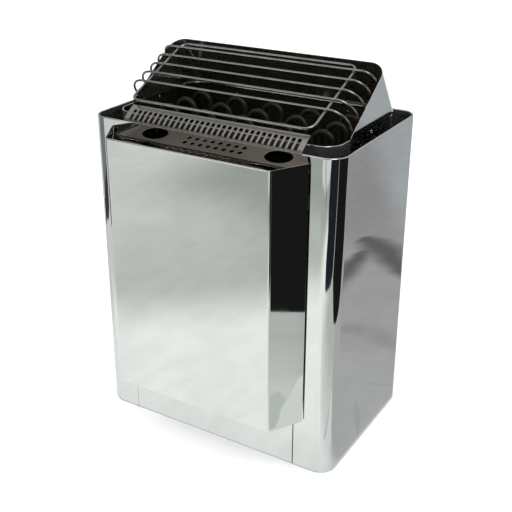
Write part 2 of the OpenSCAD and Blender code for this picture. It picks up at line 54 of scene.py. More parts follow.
class Tree:
    """Short way to lay out shader nodes."""

    def __init__(self, material):
        material.use_nodes = True
        self.t = material.node_tree
        self.t.nodes.clear()
        self.out = self.t.nodes.new("ShaderNodeOutputMaterial")

    def node(self, kind, inputs=None, **props):
        n = self.t.nodes.new(kind)
        for k, v in props.items():
            setattr(n, k, v)
        for k, v in (inputs or {}).items():
            self.put(n.inputs[k], v)
        return n

    def put(self, socket, v):
        if isinstance(v, bpy.types.NodeSocket):
            self.t.links.new(v, socket)
        else:
            socket.default_value = v

    def math(self, op, a, b=0.0, clamp=False):
        n = self.t.nodes.new("ShaderNodeMath")
        n.operation, n.use_clamp = op, clamp
        self.put(n.inputs[0], a)
        self.put(n.inputs[1], b)
        return n.outputs[0]

    def step(self, v, lo, hi, a=0.0, b=1.0):
        n = self.t.nodes.new("ShaderNodeMapRange")
        n.interpolation_type = "SMOOTHSTEP"
        for k, x in (("Value", v), ("From Min", lo), ("From Max", hi), ("To Min", a), ("To Max", b)):
            self.put(n.inputs[k], x)
        return n.outputs[0]

    def mix(self, f, a, b):
        n = self.t.nodes.new("ShaderNodeMix")
        n.data_type = "RGBA"
        self.put(n.inputs[0], f)
        self.put(n.inputs[6], a)
        self.put(n.inputs[7], b)
        return n.outputs[2]

    def noise(self, scale, detail=4.0, stretch=None, distort=0.0, rough=0.55):
        co = self.coords
        if stretch:
            m = self.node("ShaderNodeMapping", {"Vector": co})
            m.inputs["Scale"].default_value = stretch
            co = m.outputs[0]
        n = self.node("ShaderNodeTexNoise", {"Vector": co})
        n.inputs["Scale"].default_value = scale
        n.inputs["Detail"].default_value = detail
        n.inputs["Roughness"].default_value = rough
        n.inputs["Distortion"].default_value = distort
        return n.outputs["Fac"]

    @property
    def coords(self):
        if not hasattr(self, "_co"):
            self._co = self.node("ShaderNodeTexCoord").outputs["Object"]
        return self._co


def rgb(*c):
    return (c[0], c[1], c[2], 1.0)


def sheen(name, base, other, rough, metallic=1.0, tone_scale=14.0, tone=(0.35, 0.75),
          smudge=0.05, grain=None, grain_amp=0.03, wave=0.0, wave_scale=5.0,
          grit=0.0, grit_scale=900.0, coat=0.0, aniso=0.0, sub=None):
    """A surface whose colour, roughness and relief all vary."""
    m = bpy.data.materials.new(name)
    t = Tree(m)
    p = t.node("ShaderNodeBsdfPrincipled")
    p.inputs["Metallic"].default_value = metallic
    patch = t.noise(tone_scale, 5.0)
    colour = t.mix(t.step(patch, tone[0], tone[1]), rgb(*base), rgb(*other))
    if sub:
        spot = t.noise(sub[1], 6.0, distort=0.6)
        colour = t.mix(t.step(spot, sub[2], sub[3]), colour, rgb(*sub[0]))
    t.put(p.inputs["Base Color"], colour)
    smear = t.step(t.noise(9.0, 7.0, distort=1.2), 0.42, 0.78, 0.0, smudge)
    r = t.math("ADD", smear, rough)
    if grain:
        lines = t.noise(1.0, 3.0, stretch=grain)
        r = t.math("ADD", r, t.math("MULTIPLY", t.math("SUBTRACT", lines, 0.5), grain_amp * 2))
    t.put(p.inputs["Roughness"], t.math("MAXIMUM", r, 0.01))
    if coat:
        p.inputs["Coat Weight"].default_value = coat
        p.inputs["Coat Roughness"].default_value = 0.15
    if aniso:
        p.inputs["Anisotropic"].default_value = aniso
    normal = None
    if wave:
        b = t.node("ShaderNodeBump", {"Height": t.noise(wave_scale, 1.5)})
        b.inputs["Strength"].default_value = 1.0
        b.inputs["Distance"].default_value = wave
        normal = b.outputs[0]
    if grain or grit:
        h = t.noise(1.0, 3.0, stretch=grain) if grain and not grit else t.noise(grit_scale, 4.0)
        b = t.node("ShaderNodeBump", {"Height": h})
        b.inputs["Strength"].default_value = 1.0
        b.inputs["Distance"].default_value = grit or 0.000004
        if normal:
            t.put(b.inputs["Normal"], normal)
        normal = b.outputs[0]
    if normal:
        t.put(p.inputs["Normal"], normal)
    t.t.links.new(p.outputs[0], t.out.inputs[0])
    return m


MIRROR = sheen("polished_steel", (0.80, 0.81, 0.79), (0.75, 0.765, 0.75), 0.032, smudge=0.045,
               tone_scale=6.0, wave=0.00022, wave_scale=6.5)
SHEET = sheen("sheet_steel", (0.60, 0.60, 0.59), (0.50, 0.50, 0.49), 0.22, smudge=0.08,
              grain=(30, 30, 900), grain_amp=0.06, wave=0.0001)
GALV = sheen("galvanised_sheet", (0.56, 0.57, 0.57), (0.42, 0.43, 0.44), 0.34, smudge=0.06,
             tone_scale=60.0, tone=(0.4, 0.6), grit=0.00002, grit_scale=260.0)
SATIN = sheen("satin_strip", (0.50, 0.485, 0.45), (0.42, 0.405, 0.375), 0.30, smudge=0.07,
              tone_scale=22.0, grain=(12, 900, 900), grain_amp=0.08)
WIRE = sheen("guard_wire", (0.47, 0.465, 0.445), (0.36, 0.35, 0.33), 0.17, smudge=0.08,
             tone_scale=40.0, grain=(40, 800, 800), grain_amp=0.05)
WELD = sheen("weld_metal", (0.42, 0.39, 0.36), (0.25, 0.21, 0.19), 0.30, smudge=0.1,
             tone_scale=320.0, grit=0.00012, grit_scale=700.0)
# painted shade: darker copy of the polished steel for the faces that look into the gap between casing and well
GAP_SHADE_STEEL = sheen("steel_with_painted_gap_shade", (0.31, 0.318, 0.325), (0.23, 0.236, 0.245), 0.12, metallic=0.88, smudge=0.08, tone_scale=9.0,
             wave=0.00015, wave_scale=7.0)
# painted shade and painted reflection: darker, brown-spotted copy of the polished steel for the guard's inner side,
# which faces the dark well
GUARD_SHADE = sheen("guard_inner_painted_shade", (0.38, 0.36, 0.315), (0.26, 0.24, 0.205), 0.08, metallic=0.93, smudge=0.10, tone_scale=9.0,
                 sub=((0.30, 0.225, 0.150), 4.5, 0.50, 0.78), wave=0.00016, wave_scale=7.0)
# painted shade with heat tint: near-black steel stands in for the shade inside the stone well; the brown spots are heat
# tint
WELL_SHADE_AND_TINT = sheen("steel_painted_shade_and_heat_tint", (0.105, 0.098, 0.086), (0.050, 0.046, 0.042), 0.20, metallic=0.86, smudge=0.12,
             tone_scale=11.0, sub=((0.13, 0.090, 0.052), 5.0, 0.5, 0.75))
# partly painted shade: the sheath's own dark oxide is darkened further to stand in for the shade inside the well
TUBE = sheen("element_sheath", (0.040, 0.040, 0.034), (0.020, 0.020, 0.018), 0.40, metallic=0.62, smudge=0.14,
             tone_scale=26.0, sub=((0.054, 0.041, 0.029), 16.0, 0.55, 0.8), grit=0.00004, grit_scale=600.0)
# painted reflection: darker, browner copy of the polished steel with lighter flecks for the cover's perforated top,
# standing in for the dark room it reflects
FLANGE_SHADE = sheen("flange_painted_shade", (0.42, 0.382, 0.345), (0.30, 0.268, 0.238), 0.06, smudge=0.07, tone_scale=10.0,
             sub=((0.56, 0.53, 0.49), 7.0, 0.52, 0.80), wave=0.00016, wave_scale=8.0)
# painted shade: near-black dull sheet for hidden inner sides, which darkens the gaps and joints round the cover and
# access panel
SHADED_INNER = sheen("inner_side_painted_shade", (0.105, 0.102, 0.097), (0.070, 0.068, 0.064), 0.52, smudge=0.10, tone_scale=18.0,
              grain=(30, 30, 600), grain_amp=0.06)
ZINC = sheen("zinc_fastener", (0.64, 0.64, 0.62), (0.50, 0.50, 0.47), 0.22, smudge=0.1,
             tone_scale=160.0, grit=0.00001, grit_scale=1400.0)
BRASS = sheen("brass_fitting", (0.71, 0.53, 0.24), (0.53, 0.37, 0.15), 0.26, smudge=0.12,
              tone_scale=90.0, grit=0.00001, grit_scale=900.0)
COPPER = sheen("copper_bulb", (0.72, 0.40, 0.25), (0.45, 0.24, 0.14), 0.25, smudge=0.12, tone_scale=60.0)
CERAMIC = sheen("ceramic_insulator", (0.82, 0.79, 0.71), (0.72, 0.68, 0.59), 0.42, metallic=0.0,
                smudge=0.1, tone_scale=120.0, grit=0.00003, grit_scale=900.0)
SLEEVE = sheen("lead_sleeve", (0.30, 0.075, 0.050), (0.20, 0.045, 0.032), 0.55, metallic=0.0,
               smudge=0.1, tone_scale=200.0, grit=0.00008, grit_scale=1500.0)
BLACK = sheen("black_plastic", (0.020, 0.020, 0.021), (0.032, 0.032, 0.033), 0.38, metallic=0.0,
              smudge=0.12, tone_scale=90.0, grit=0.00004, grit_scale=1200.0)
RED = sheen("red_plastic", (0.52, 0.022, 0.018), (0.40, 0.016, 0.014), 0.32, metallic=0.0,
            smudge=0.1, tone_scale=120.0, grit=0.00002, grit_scale=900.0)


# ---- mesh helpers ------------------------------------------------------------


class Solid:
    """Collects closed pieces, then makes one object of them."""

    def __init__(self):
        self.v, self.f = [], []

    def add(self, verts, faces):
        n = len(self.v)
        self.v += [tuple(float(c) for c in p) for p in verts]
        self.f += [tuple(n + i for i in f) for f in faces]

    def shell(self, verts, normals, faces, t):
        """Sheet of thickness t behind the given outer skin."""
        v, n = np.asarray(verts, float), np.asarray(normals, float)
        used = sorted({i for f in faces for i in f})
        new = {k: i for i, k in enumerate(used)}
        v, n = v[used], n[used]
        faces = [tuple(new[i] for i in f) for f in faces]
        c = len(v)
        edges = {(f[i], f[(i + 1) % len(f)]) for f in faces for i in range(len(f))}
        rim = [(b, a, a + c, b + c) for a, b in sorted(edges) if (b, a) not in edges]
        self.add(np.vstack([v, v - n * t]),
                 list(faces) + [tuple(i + c for i in reversed(f)) for f in faces] + rim)

    def block(self, lo, hi):
        x, y, z = zip(lo, hi)
        v = [(x[i], y[j], z[k]) for k in (0, 1) for j in (0, 1) for i in (0, 1)]
        self.add(v, [(0, 2, 3, 1), (4, 5, 7, 6), (0, 1, 5, 4), (2, 6, 7, 3), (0, 4, 6, 2), (1, 3, 7, 5)])

    def make(self, name, body, material, replaces=(), bevel=0.0, steps=3, sharp=42.0,
             pick=None, weighted=True, seam=None):
        me = bpy.data.meshes.new(name)
        me.from_pydata([to_row(p) for p in self.v], [], self.f)
        bm = bmesh.new()
        bm.from_mesh(me)
        bmesh.ops.recalc_face_normals(bm, faces=bm.faces)
        if bevel:
            hard = [e for e in bm.edges if len(e.link_faces) == 2 and e.calc_face_angle(0.0) > math.radians(50)]
            if seam:
                hard = [e for e in hard if not seam((e.verts[0].co + e.verts[1].co) * 500)]
            bmesh.ops.bevel(bm, geom=hard, offset=bevel * 0.001, offset_type="OFFSET", segments=steps,
                            profile=0.5, affect="EDGES", clamp_overlap=True)
        bm.to_mesh(me)
        bm.free()
        materials = material if isinstance(material, (list, tuple)) else [material]
        for m in materials:
            me.materials.append(m)
        me.polygons.foreach_set("use_smooth", [True] * len(me.polygons))
        me.set_sharp_from_angle(angle=math.radians(sharp))
        if pick:
            for p in me.polygons:
                c, n = p.center, p.normal
                p.material_index = pick((c.x * 1000, c.y * 1000 + Y_OFF, c.z * 1000), n)
        me.update()
        o = bpy.data.objects.new(name, me)
        bpy.context.scene.collection.objects.link(o)
        if weighted:
            w = o.modifiers.new("flat_faces", "WEIGHTED_NORMAL")
            w.keep_sharp, w.weight, w.mode = True, 60, "FACE_AREA"
        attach(o, body)
        if replaces:
            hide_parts(*replaces)
        return o


def rrect(x1, y0, y1, r, seg, front=(), back=(), side=()):
    """Rounded rectangle, counter-clockwise from the front: points and outward normals."""
    out = []
    out += [(x, y0, 0, -1) for x in [-(x1 - r), *front, x1 - r]]

    def corner(cx, cy, a0):
        return [(cx + r * math.cos(a), cy + r * math.sin(a), math.cos(a), math.sin(a))
                for a in (math.radians(a0 + 90 * k / seg) for k in range(1, seg))]

    out += corner(x1 - r, y0 + r, -90)
    out += [(x1, y, 1, 0) for y in [y0 + r, *side, y1 - r]]
    out += corner(x1 - r, y1 - r, 0)
    out += [(x, y1, 0, 1) for x in [x1 - r, *reversed(back), -(x1 - r)]]
    out += corner(-(x1 - r), y1 - r, 90)
    out += [(-x1, y, -1, 0) for y in [y1 - r, *reversed(side), y0 + r]]
    out += corner(-(x1 - r), y0 + r, 180)
    return out


def fillet_path(pts, r, seg, limit=0.45):
    """Line of points with rounded corners: points, left normals, distance along it."""
    p = [np.array(q, float) for q in pts]
    out = [p[0]]
    for i in range(1, len(p) - 1):
        a, b = p[i - 1] - p[i], p[i + 1] - p[i]
        la, lb = np.linalg.norm(a), np.linalg.norm(b)
        a, b = a / la, b / lb
        turn = math.pi - math.acos(max(-1, min(1, float(a @ b))))
        cut = min(r * math.tan(turn / 2), limit * la, limit * lb)
        rr = cut / math.tan(turn / 2)
        mid = (a + b) / np.linalg.norm(a + b)
        centre = p[i] + mid * (rr / math.cos(turn / 2))
        s, e = p[i] + a * cut - centre, p[i] + b * cut - centre
        for k in range(seg + 1):
            f = k / seg
            w = (math.sin((1 - f) * turn) * s + math.sin(f * turn) * e) / math.sin(turn)
            out.append(centre + w)
    out.append(p[-1])
    pts = np.array(out)
    d = np.diff(pts, axis=0)
    ln = np.linalg.norm(d, axis=1)
    u = d / ln[:, None]
    seg_n = np.c_[-u[:, 1], u[:, 0]]
    n = np.vstack([seg_n[:1], seg_n[:-1] + seg_n[1:], seg_n[-1:]])
    n /= np.linalg.norm(n, axis=1)[:, None]
    return pts, n, np.r_[0, np.cumsum(ln)]


def along(path, v, w):
    """Point at distance v along the path and w to its left."""
    pts, nrm, run = path
    i = int(np.clip(np.searchsorted(run, v) - 1, 0, len(run) - 2))
    f = (v - run[i]) / (run[i + 1] - run[i])
    n = nrm[i] + f * (nrm[i + 1] - nrm[i])
    return pts[i] + f * (pts[i + 1] - pts[i]) + n / np.linalg.norm(n) * w


def inside(poly, q):
    """Which points of q lie in the polygon."""
    x, y = q[:, 0], q[:, 1]
    hit = np.zeros(len(q), bool)
    a, b = poly, np.roll(poly, -1, axis=0)
    for (x0, y0), (x1, y1) in zip(a, b):
        if y0 == y1:
            continue
        cross = ((y0 > y) != (y1 > y)) & (x < (x1 - x0) * (y - y0) / (y1 - y0) + x0)
        hit ^= cross
    return hit


def shift_loop(loop, d):
    """Counter-clockwise loop moved to its inside by d, which may differ from edge to edge."""
    p = np.asarray(loop, float)
    d = np.broadcast_to(np.asarray(d, float), (len(p),))
    e = np.roll(p, -1, axis=0) - p
    e /= np.linalg.norm(e, axis=1)[:, None]
    n = np.c_[-e[:, 1], e[:, 0]]
    m, dm = np.roll(n, 1, axis=0), np.roll(d, 1)
    det = m[:, 0] * n[:, 1] - m[:, 1] * n[:, 0]
    flat = np.abs(det) < 1e-6
    det = np.where(flat, 1.0, det)
    a = np.c_[dm * n[:, 1] - d * m[:, 1], m[:, 0] * d - n[:, 0] * dm] / det[:, None]
    return p + np.where(flat[:, None], n * d[:, None], a)


def split_loop(loop, levels):
    """Adds a point wherever an edge of the loop crosses one of the levels of v."""
    out = []
    for (a, b) in zip(loop, list(loop[1:]) + [loop[0]]):
        out.append(tuple(a))
        cut = sorted((c - a[1]) / (b[1] - a[1]) for c in levels
                     if (a[1] - c) * (b[1] - c) < 0 and abs(a[1] - c) > 1e-6 and abs(b[1] - c) > 1e-6)
        out += [(a[0] + f * (b[0] - a[0]), a[1] + f * (b[1] - a[1])) for f in cut]
    return out


def plate(solid, outline, holes, thick, put, edge=0.3, steps=3, levels=(), hole_edge=None, seam=None):
    """Perforated sheet with rounded edges. put(u, v, w) gives the place of a point w above the sheet's face.
    The edge that lies on v = seam is left square."""
    hole_edge = edge if hole_edge is None else hole_edge
    loops = [(np.array(split_loop(outline, levels)), edge, 1.0)]
    loops += [(np.array(split_loop(h, levels)), hole_edge, -1.0) for h in holes]
    open_edge = [np.array([seam is not None and abs(a[1] - seam) < 1e-6 and abs(b[1] - seam) < 1e-6
                           for a, b in zip(p, np.roll(p, -1, axis=0))]) for p, _, _ in loops]
    skin = [shift_loop(p, np.where(q, 0.0, s * r)) for (p, r, s), q in zip(loops, open_edge)]
    co, ed, first = [], [], []
    for s in skin:
        n = len(co)
        first.append(n)
        co += [Vector((float(a), float(b))) for a, b in s]
        ed += [(n + i, n + (i + 1) % len(s)) for i in range(len(s))]
    lo, hi = skin[0].min(0), skin[0].max(0)
    for c in levels:
        n = len(co)
        co += [Vector((float(lo[0]), c)), Vector((float(hi[0]), c))]
        ed.append((n, n + 1))
    got = delaunay_2d_cdt(co, ed, [], 0, 1e-5, True)
    place = {k: i for i, src in enumerate(got[3]) for k in src}
    pts = np.array([(p.x, p.y) for p in got[0]])
    tri = np.array([f for f in got[2]])
    mid = pts[tri].mean(1)
    keep = inside(skin[0], mid)
    for s in skin[1:]:
        keep &= ~inside(s, mid)
    tri = tri[keep]
    used = np.unique(tri)
    new = {int(k): i for i, k in enumerate(used)}
    c = len(used)
    verts = [put(pts[k, 0], pts[k, 1], 0.0) for k in used] + [put(pts[k, 0], pts[k, 1], -thick) for k in used]
    faces = [tuple(new[int(i)] for i in f) for f in tri]
    faces += [tuple(i + c for i in reversed(f)) for f in faces]
    for (p, r, s), q, n in zip(loops, open_edge, first):
        m = len(p)
        rows = []
        for k in range(steps + 1):
            a = math.pi / 2 * k / steps
            rows.append((r * (1 - math.sin(a)), -r * (1 - math.cos(a))))
        rows += [(o, -thick - w) for o, w in reversed(rows)]
        grid = [[new[place[n + i]] for i in range(m)]]
        for o, w in rows[1:-1]:
            grid.append(list(range(len(verts), len(verts) + m)))
            verts += [put(u, v, w) for u, v in shift_loop(p, np.where(q, 0.0, s * o))]
        grid.append([i + c for i in grid[0]])
        for i in range(m):
            k = (i + 1) % m
            if q[i]:
                faces.append(tuple([row[i] for row in grid] + [row[k] for row in reversed(grid)]))
            else:
                faces += [(a[i], a[k], b[k], b[i]) for a, b in zip(grid, grid[1:])]
    solid.add(verts, faces)


def circle(cx, cy, r, n=28):
    return [(cx + r * math.cos(2 * math.pi * k / n), cy + r * math.sin(2 * math.pi * k / n)) for k in range(n)]


def round_box(x0, x1, y0, y1, r, n=4):
    out = []
    for cx, cy, a in ((x1 - r, y0 + r, -90), (x1 - r, y1 - r, 0), (x0 + r, y1 - r, 90), (x0 + r, y0 + r, 180)):
        out += [(cx + r * math.cos(math.radians(a + 90 * k / n)), cy + r * math.sin(math.radians(a + 90 * k / n)))
                for k in range(n + 1)]
    return out


def tube(solid, path, r, sides=20, closed=False, cap=0.35):
    """Round bar along a line of points, its ends rounded over."""
    p = np.asarray(path, float)
    if closed:
        d = np.roll(p, -1, axis=0) - np.roll(p, 1, axis=0)
    else:
        d = np.vstack([p[1] - p[0], p[2:] - p[:-2], p[-1] - p[-2]])
    d /= np.linalg.norm(d, axis=1)[:, None]
    u = np.cross(d[0], [0.31, 0.17, 0.93])
    u /= np.linalg.norm(u)
    rings = []
    for i in range(len(p)):
        u = u - d[i] * (u @ d[i])
        u /= np.linalg.norm(u)
        rings.append((p[i], d[i], u.copy(), r))
    if not closed:
        c0, d0, u0, _ = rings[0]
        c1, d1, u1, _ = rings[-1]
        lead = [(c0 + d0 * r * cap * (1 - math.sin(a)), d0, u0, r * (1 - cap + cap * math.cos(a)))
                for a in (math.radians(x) for x in (90, 60, 30))]
        tail = [(c1 - d1 * r * cap * (1 - math.sin(a)), d1, u1, r * (1 - cap + cap * math.cos(a)))
                for a in (math.radians(x) for x in (30, 60, 90))]
        first = (c0 + d0 * r * cap, d0, u0, r)
        last = (c1 - d1 * r * cap, d1, u1, r)
        rings = lead + [first] + rings[1:-1] + [last] + tail
    verts, faces = [], []
    for c, dd, uu, rr in rings:
        w = np.cross(dd, uu)
        verts += [c + rr * (math.cos(2 * math.pi * k / sides) * uu + math.sin(2 * math.pi * k / sides) * w)
                  for k in range(sides)]
    n = len(rings)
    for j in range(n if closed else n - 1):
        a, b = j * sides, ((j + 1) % n) * sides
        turn = 0
        if closed and j == n - 1:
            gap = [np.linalg.norm(np.array(verts[b]) - np.array(verts[a + k])) for k in range(sides)]
            turn = int(np.argmin(gap))
        faces += [(a + (k + turn) % sides, a + (k + 1 + turn) % sides, b + (k + 1) % sides, b + k)
                  for k in range(sides)]
    if not closed:
        faces += [tuple(reversed(range(sides))), tuple((n - 1) * sides + k for k in range(sides))]
    solid.add(verts, faces)


def lathe(solid, profile, place, sides=28):
    """Turned piece: profile of (radius, height) from the axis round to the axis, placed by a matrix."""
    verts, faces, rows = [], [], []
    for r, h in profile:
        if r < 1e-6:
            rows.append([len(verts)])
            verts.append(place @ Vector((0, 0, h)))
        else:
            rows.append(list(range(len(verts), len(verts) + sides)))
            verts += [place @ Vector((r * math.cos(2 * math.pi * k / sides), r * math.sin(2 * math.pi * k / sides), h))
                      for k in range(sides)]
    for a, b in zip(rows, rows[1:]):
        for k in range(sides):
            q = [a[k % len(a)], a[(k + 1) % len(a)], b[(k + 1) % len(b)], b[k % len(b)]]
            q = [x for i, x in enumerate(q) if x != q[i - 1]]
            if len(q) > 2:
                faces.append(tuple(q))
    solid.add([tuple(p) for p in verts], faces)


# ---- casing ------------------------------------------------------------------

HW, DEPTH, RIM, CORNER = 205.0, 265.5, 494.0, 25.5


def build_casing():
    s = Solid()
    # the joint beside the access panel is the wider one at the right
    ring = rrect(HW, 0, DEPTH, CORNER, 22, front=(-150, -145.5, 146.7, 150), back=(-150, 150), side=())
    hem = 1.5
    rows = [(z, 0.0, 0.0) for z in (0, 30, 96, 460, RIM - hem)]
    rows += [(RIM - hem + hem * math.sin(a), hem - hem * math.cos(a), a)
             for a in (math.radians(15 * k) for k in range(1, 13))]
    rows += [(RIM - 8, 2 * hem, math.pi)]
    n, m = len(ring), len(rows)
    verts, normals, faces = [], [], []
    for x, y, nx, ny in ring:
        for z, d, a in rows:
            verts.append((x - nx * d, y - ny * d, z))
            normals.append((nx * math.cos(a), ny * math.cos(a), math.sin(a)))
    top = {}
    for i, (x, y, nx, ny) in enumerate(ring):
        if y == 0 and abs(x) <= 150:
            top[i] = len(verts)
            verts.append((x, y, RIM))
            normals.append((nx, ny, 0))
    for i in range(n):
        k = (i + 1) % n
        mx, my = (ring[i][0] + ring[k][0]) / 2, (ring[i][1] + ring[k][1]) / 2
        front, back = my == 0, my == DEPTH
        for j in range(m - 1):
            z = (rows[j][0] + rows[j + 1][0]) / 2
            if front and abs(mx) < 145.5 and z < 96:
                continue
            if back and abs(mx) < 150 and 30 < z < 460 and j < 4:
                continue
            if front and abs(mx) < 150 and j >= 4:
                continue
            faces.append((i * m + j, k * m + j, k * m + j + 1, i * m + j + 1))
        if front and abs(mx) < 150:
            faces.append((i * m + 4, k * m + 4, top[k], top[i]))
    s.shell(verts, normals, faces, 1.0)
    for x in (-HW + 1, HW - 15):
        s.block((x, CORNER, 0), (x + 14, DEPTH - CORNER, 1))
    s.block((-(HW - CORNER), DEPTH - 15, 0), (HW - CORNER, DEPTH - 1, 1))
    # the casing's inner faces below the rim take the darker steel, painted shade for the gap round the well
    def pick(p, n):
        return 1 if p[0] / HW * n.x + (p[1] / DEPTH * 2 - 1) * n.y < -0.2 and p[2] < RIM - 3.5 else 0

    return s.make("casing_wrap", "heater", [MIRROR, GAP_SHADE_STEEL], ["outer_casing"], bevel=0.32, pick=pick)


def fold_rows(y, z0, r, reach, steps=6):
    """Return folded back from the lower edge of an upright sheet: (y, z, ny, nz)."""
    rows = [(y + reach, z0, 0, -1)]
    for k in range(steps + 1):
        a = math.pi / 2 * k / steps
        rows.append((y + r - r * math.sin(a), z0 + r - r * math.cos(a), -math.sin(a), -math.cos(a)))
    return rows


def build_access_panel():
    s = Solid()
    hw, h = 145.1, 95.6
    rows = fold_rows(0, 0, 1.6, 14) + [(0, h, -1, 0)]
    verts, normals = [], []
    for x in (-135, 135):
        for y, z, ny, nz in rows:
            verts.append((x, y, z))
            normals.append((0, ny, nz))
    m = len(rows)
    faces = [(j, m + j, m + j + 1, j + 1) for j in range(m - 1)]
    # the ends run straight down beside the fold
    for k, x, far in ((m - 2, -135, -hw), (2 * m - 2, 135, hw)):
        n = len(verts)
        verts += [(x, 0, 0), (far, 0, 0), (far, 0, 1.6), (far, 0, h)]
        normals += [(0, -1, 0)] * 4
        for q in ((n, n + 1, n + 2, k), (k, n + 2, n + 3, k + 1)):
            faces.append(q if far > 0 else tuple(reversed(q)))
    s.shell(verts, normals, faces, 1.0)
    s.block((-120, 1, 84), (120, 2, 108))
    for x in (-153.5, 135.5):
        s.block((x, 1, 2), (x + 18, 2, 83))
    # the back of the panel, with its tongues, takes the dark inner sheet: painted shade in the joint beside it
    return s.make("access_panel", "heater", [MIRROR, SHADED_INNER], ["lower_front_panel"], bevel=0.3,
                  pick=lambda c, n: 1 if c[1] > 0.9 else 0)


# ---- front cover -------------------------------------------------------------

COVER_D, FRONT, BACK, GAP, FOLD = 54.0, 133.5, 163.0, 2.0, 5.0
CZ0, CZ1, FALL = 86.0, 484.2, 0.26
SIDE = math.atan2(COVER_D - GAP, BACK - FRONT)


LIP = 129.0


def build_cover():
    s = Solid()
    flat = FRONT - FOLD * math.tan(SIDE / 2)
    half = [(LIP, -COVER_D, 0.0, -1.0)]
    for k in range(15):
        a = -math.pi / 2 + SIDE * k / 14
        half.append((flat + FOLD * math.cos(a), -COVER_D + FOLD + FOLD * math.sin(a), math.cos(a), math.sin(a)))
    half.append((BACK, -GAP, math.cos(SIDE - math.pi / 2), math.sin(SIDE - math.pi / 2)))
    cols = [(-x, y, -nx, ny) for x, y, nx, ny in reversed(half)] + half
    # the cover hangs a little nearer to the casing at the left
    cols[0] = (cols[0][0] - 0.68, cols[0][1] + 1.2, *cols[0][2:])
    cols[-1] = (cols[-1][0] - 0.57, cols[-1][1] - 1.0, *cols[-1][2:])
    rows = fold_rows(-COVER_D, CZ0, 1.6, 9)
    top = CZ1 - 2.4
    zs = [CZ0, CZ0 + 1.6, CZ1 - 18, top, CZ1]
    verts, normals, faces = [], [], []
    for x, y, nx, ny in cols:
        for z in zs:
            verts.append((x, y, z))
            normals.append((nx, ny, 0))
    c = len(half)
    for i in range(len(cols) - 1):
        for j in range(4):
            if (j == 0 and c - 2 <= i <= c) or (j == 3 and i == c - 1):
                continue
            faces.append((i * 5 + j, i * 5 + 5 + j, i * 5 + 6 + j, i * 5 + 1 + j))
    # return along the lower edge
    base, q = len(verts), len(rows) - 1
    for x in (-flat, -LIP, LIP, flat):
        for y, z, ny, nz in rows[:-1]:
            verts.append((x, y, z))
            normals.append((0, ny, nz))
    for k in range(3):
        a, b = base + k * q, base + (k + 1) * q
        faces += [(a + j, b + j, b + j + 1, a + j + 1) for j in range(q - 1)]
        faces.append((a + q - 1, b + q - 1, (c - 1 + k) * 5 + 1, (c - 2 + k) * 5 + 1))
    s.shell(verts, normals, faces, 1.0)

    # perforated top, folded over from the front
    y1 = -1.6
    path = fillet_path([(-COVER_D, top), (-COVER_D, CZ1), (y1, CZ1 - FALL * (COVER_D + y1))], 1.6, 8, 0.95)
    end = float(path[2][-1])

    def put(u, v, w):
        y, z = along(path, v, w)
        return (u, y, z)

    def at(y):
        return end - (y1 - y) * math.hypot(1, FALL)

    side = [(LIP - 0.1, at(-51.2)), (131.6, at(-49.0)), (BACK - 2.4, end)]
    outline = [(-LIP + 0.1, 0.0), (LIP - 0.1, 0.0)] + side + [(-x, v) for x, v in reversed(side)]
    holes = [[(k + 21 * math.cos(2 * math.pi * j / 56), at(-22 + 14.7 * math.sin(2 * math.pi * j / 56)))
              for j in range(56)] for k in (-103, 103)]
    holes += [[(x, at(y)) for x, y in circle((k - 3.5) * 13.15, y0, 3.45)] for k in range(8) for y0 in (-27, -14.5)]
    plate(s, outline, holes, 1.0, put, edge=0.25, hole_edge=0.35, levels=[float(r) for r in path[2][1:-1]], seam=0.0)

    def seam(p):
        return abs(p.z - top) < 0.01 and abs(p.x) < LIP - 0.02 and p.y + Y_OFF < -COVER_D + 1.2

    # the flat of the perforated top takes the darker flange steel (painted reflection); faces turned to the casing, the
    # underside and the lower return take the dark inner sheet (painted shade)
    def pick(p, n):
        x, y, z = abs(p[0]), p[1], p[2]
        if z > CZ1 - 20 and y > -51.95 and x < 131.9 + (y + 49.0) * 0.6118:
            return 1 if n.z > 0.2 else 2
        if n.y > 0.4:
            return 0 if z > CZ1 - 18 else 2
        return 2 if n.z > 0.5 and z < CZ0 + 4 else 0

    return s.make("cover_sheet", "heater", [MIRROR, FLANGE_SHADE, SHADED_INNER], ["front_cover"], bevel=0.3, seam=seam,
                  pick=pick)


# ---- air deflector -----------------------------------------------------------


def build_deflector():
    s = Solid()
    path = fillet_path([(1.5, 459), (1.5, 486), (8, 496), (19, 504), (30, 510.5)], 5.0, 6)
    pts, _, run = path

    def put(u, v, w):
        y, z = along(path, v, 0.5 + w)
        return (u, y, z)

    def at_y(y):
        i = int(np.argmax(pts[:, 0] > y))
        return run[i - 1] + (y - pts[i - 1, 0]) / (pts[i, 0] - pts[i - 1, 0]) * (run[i] - run[i - 1])

    a, b = at_y(7.0), at_y(22.5)
    levels = [float(r) for r in run[1:-1]]
    slots = [round_box((k - 15) * 9.05 - 2.8, (k - 15) * 9.05 + 2.8, a, b, 0.9, 3) for k in range(31)]
    plate(s, round_box(-147, 147, 0, float(run[-1]), 1.2, 4), slots, 1.0, put, edge=0.25, levels=levels,
          hole_edge=0.25, steps=2)
    return s.make("deflector_strip", "heater", SATIN, ["air_deflector"])


# ---- stone tub ---------------------------------------------------------------

TUB_HW, TUB_Y0, TUB_Y1, TUB_R, TUB_Z0, TUB_Z1 = 182.8, 28.65, 240.5, 29.0, 148.0, 498.3


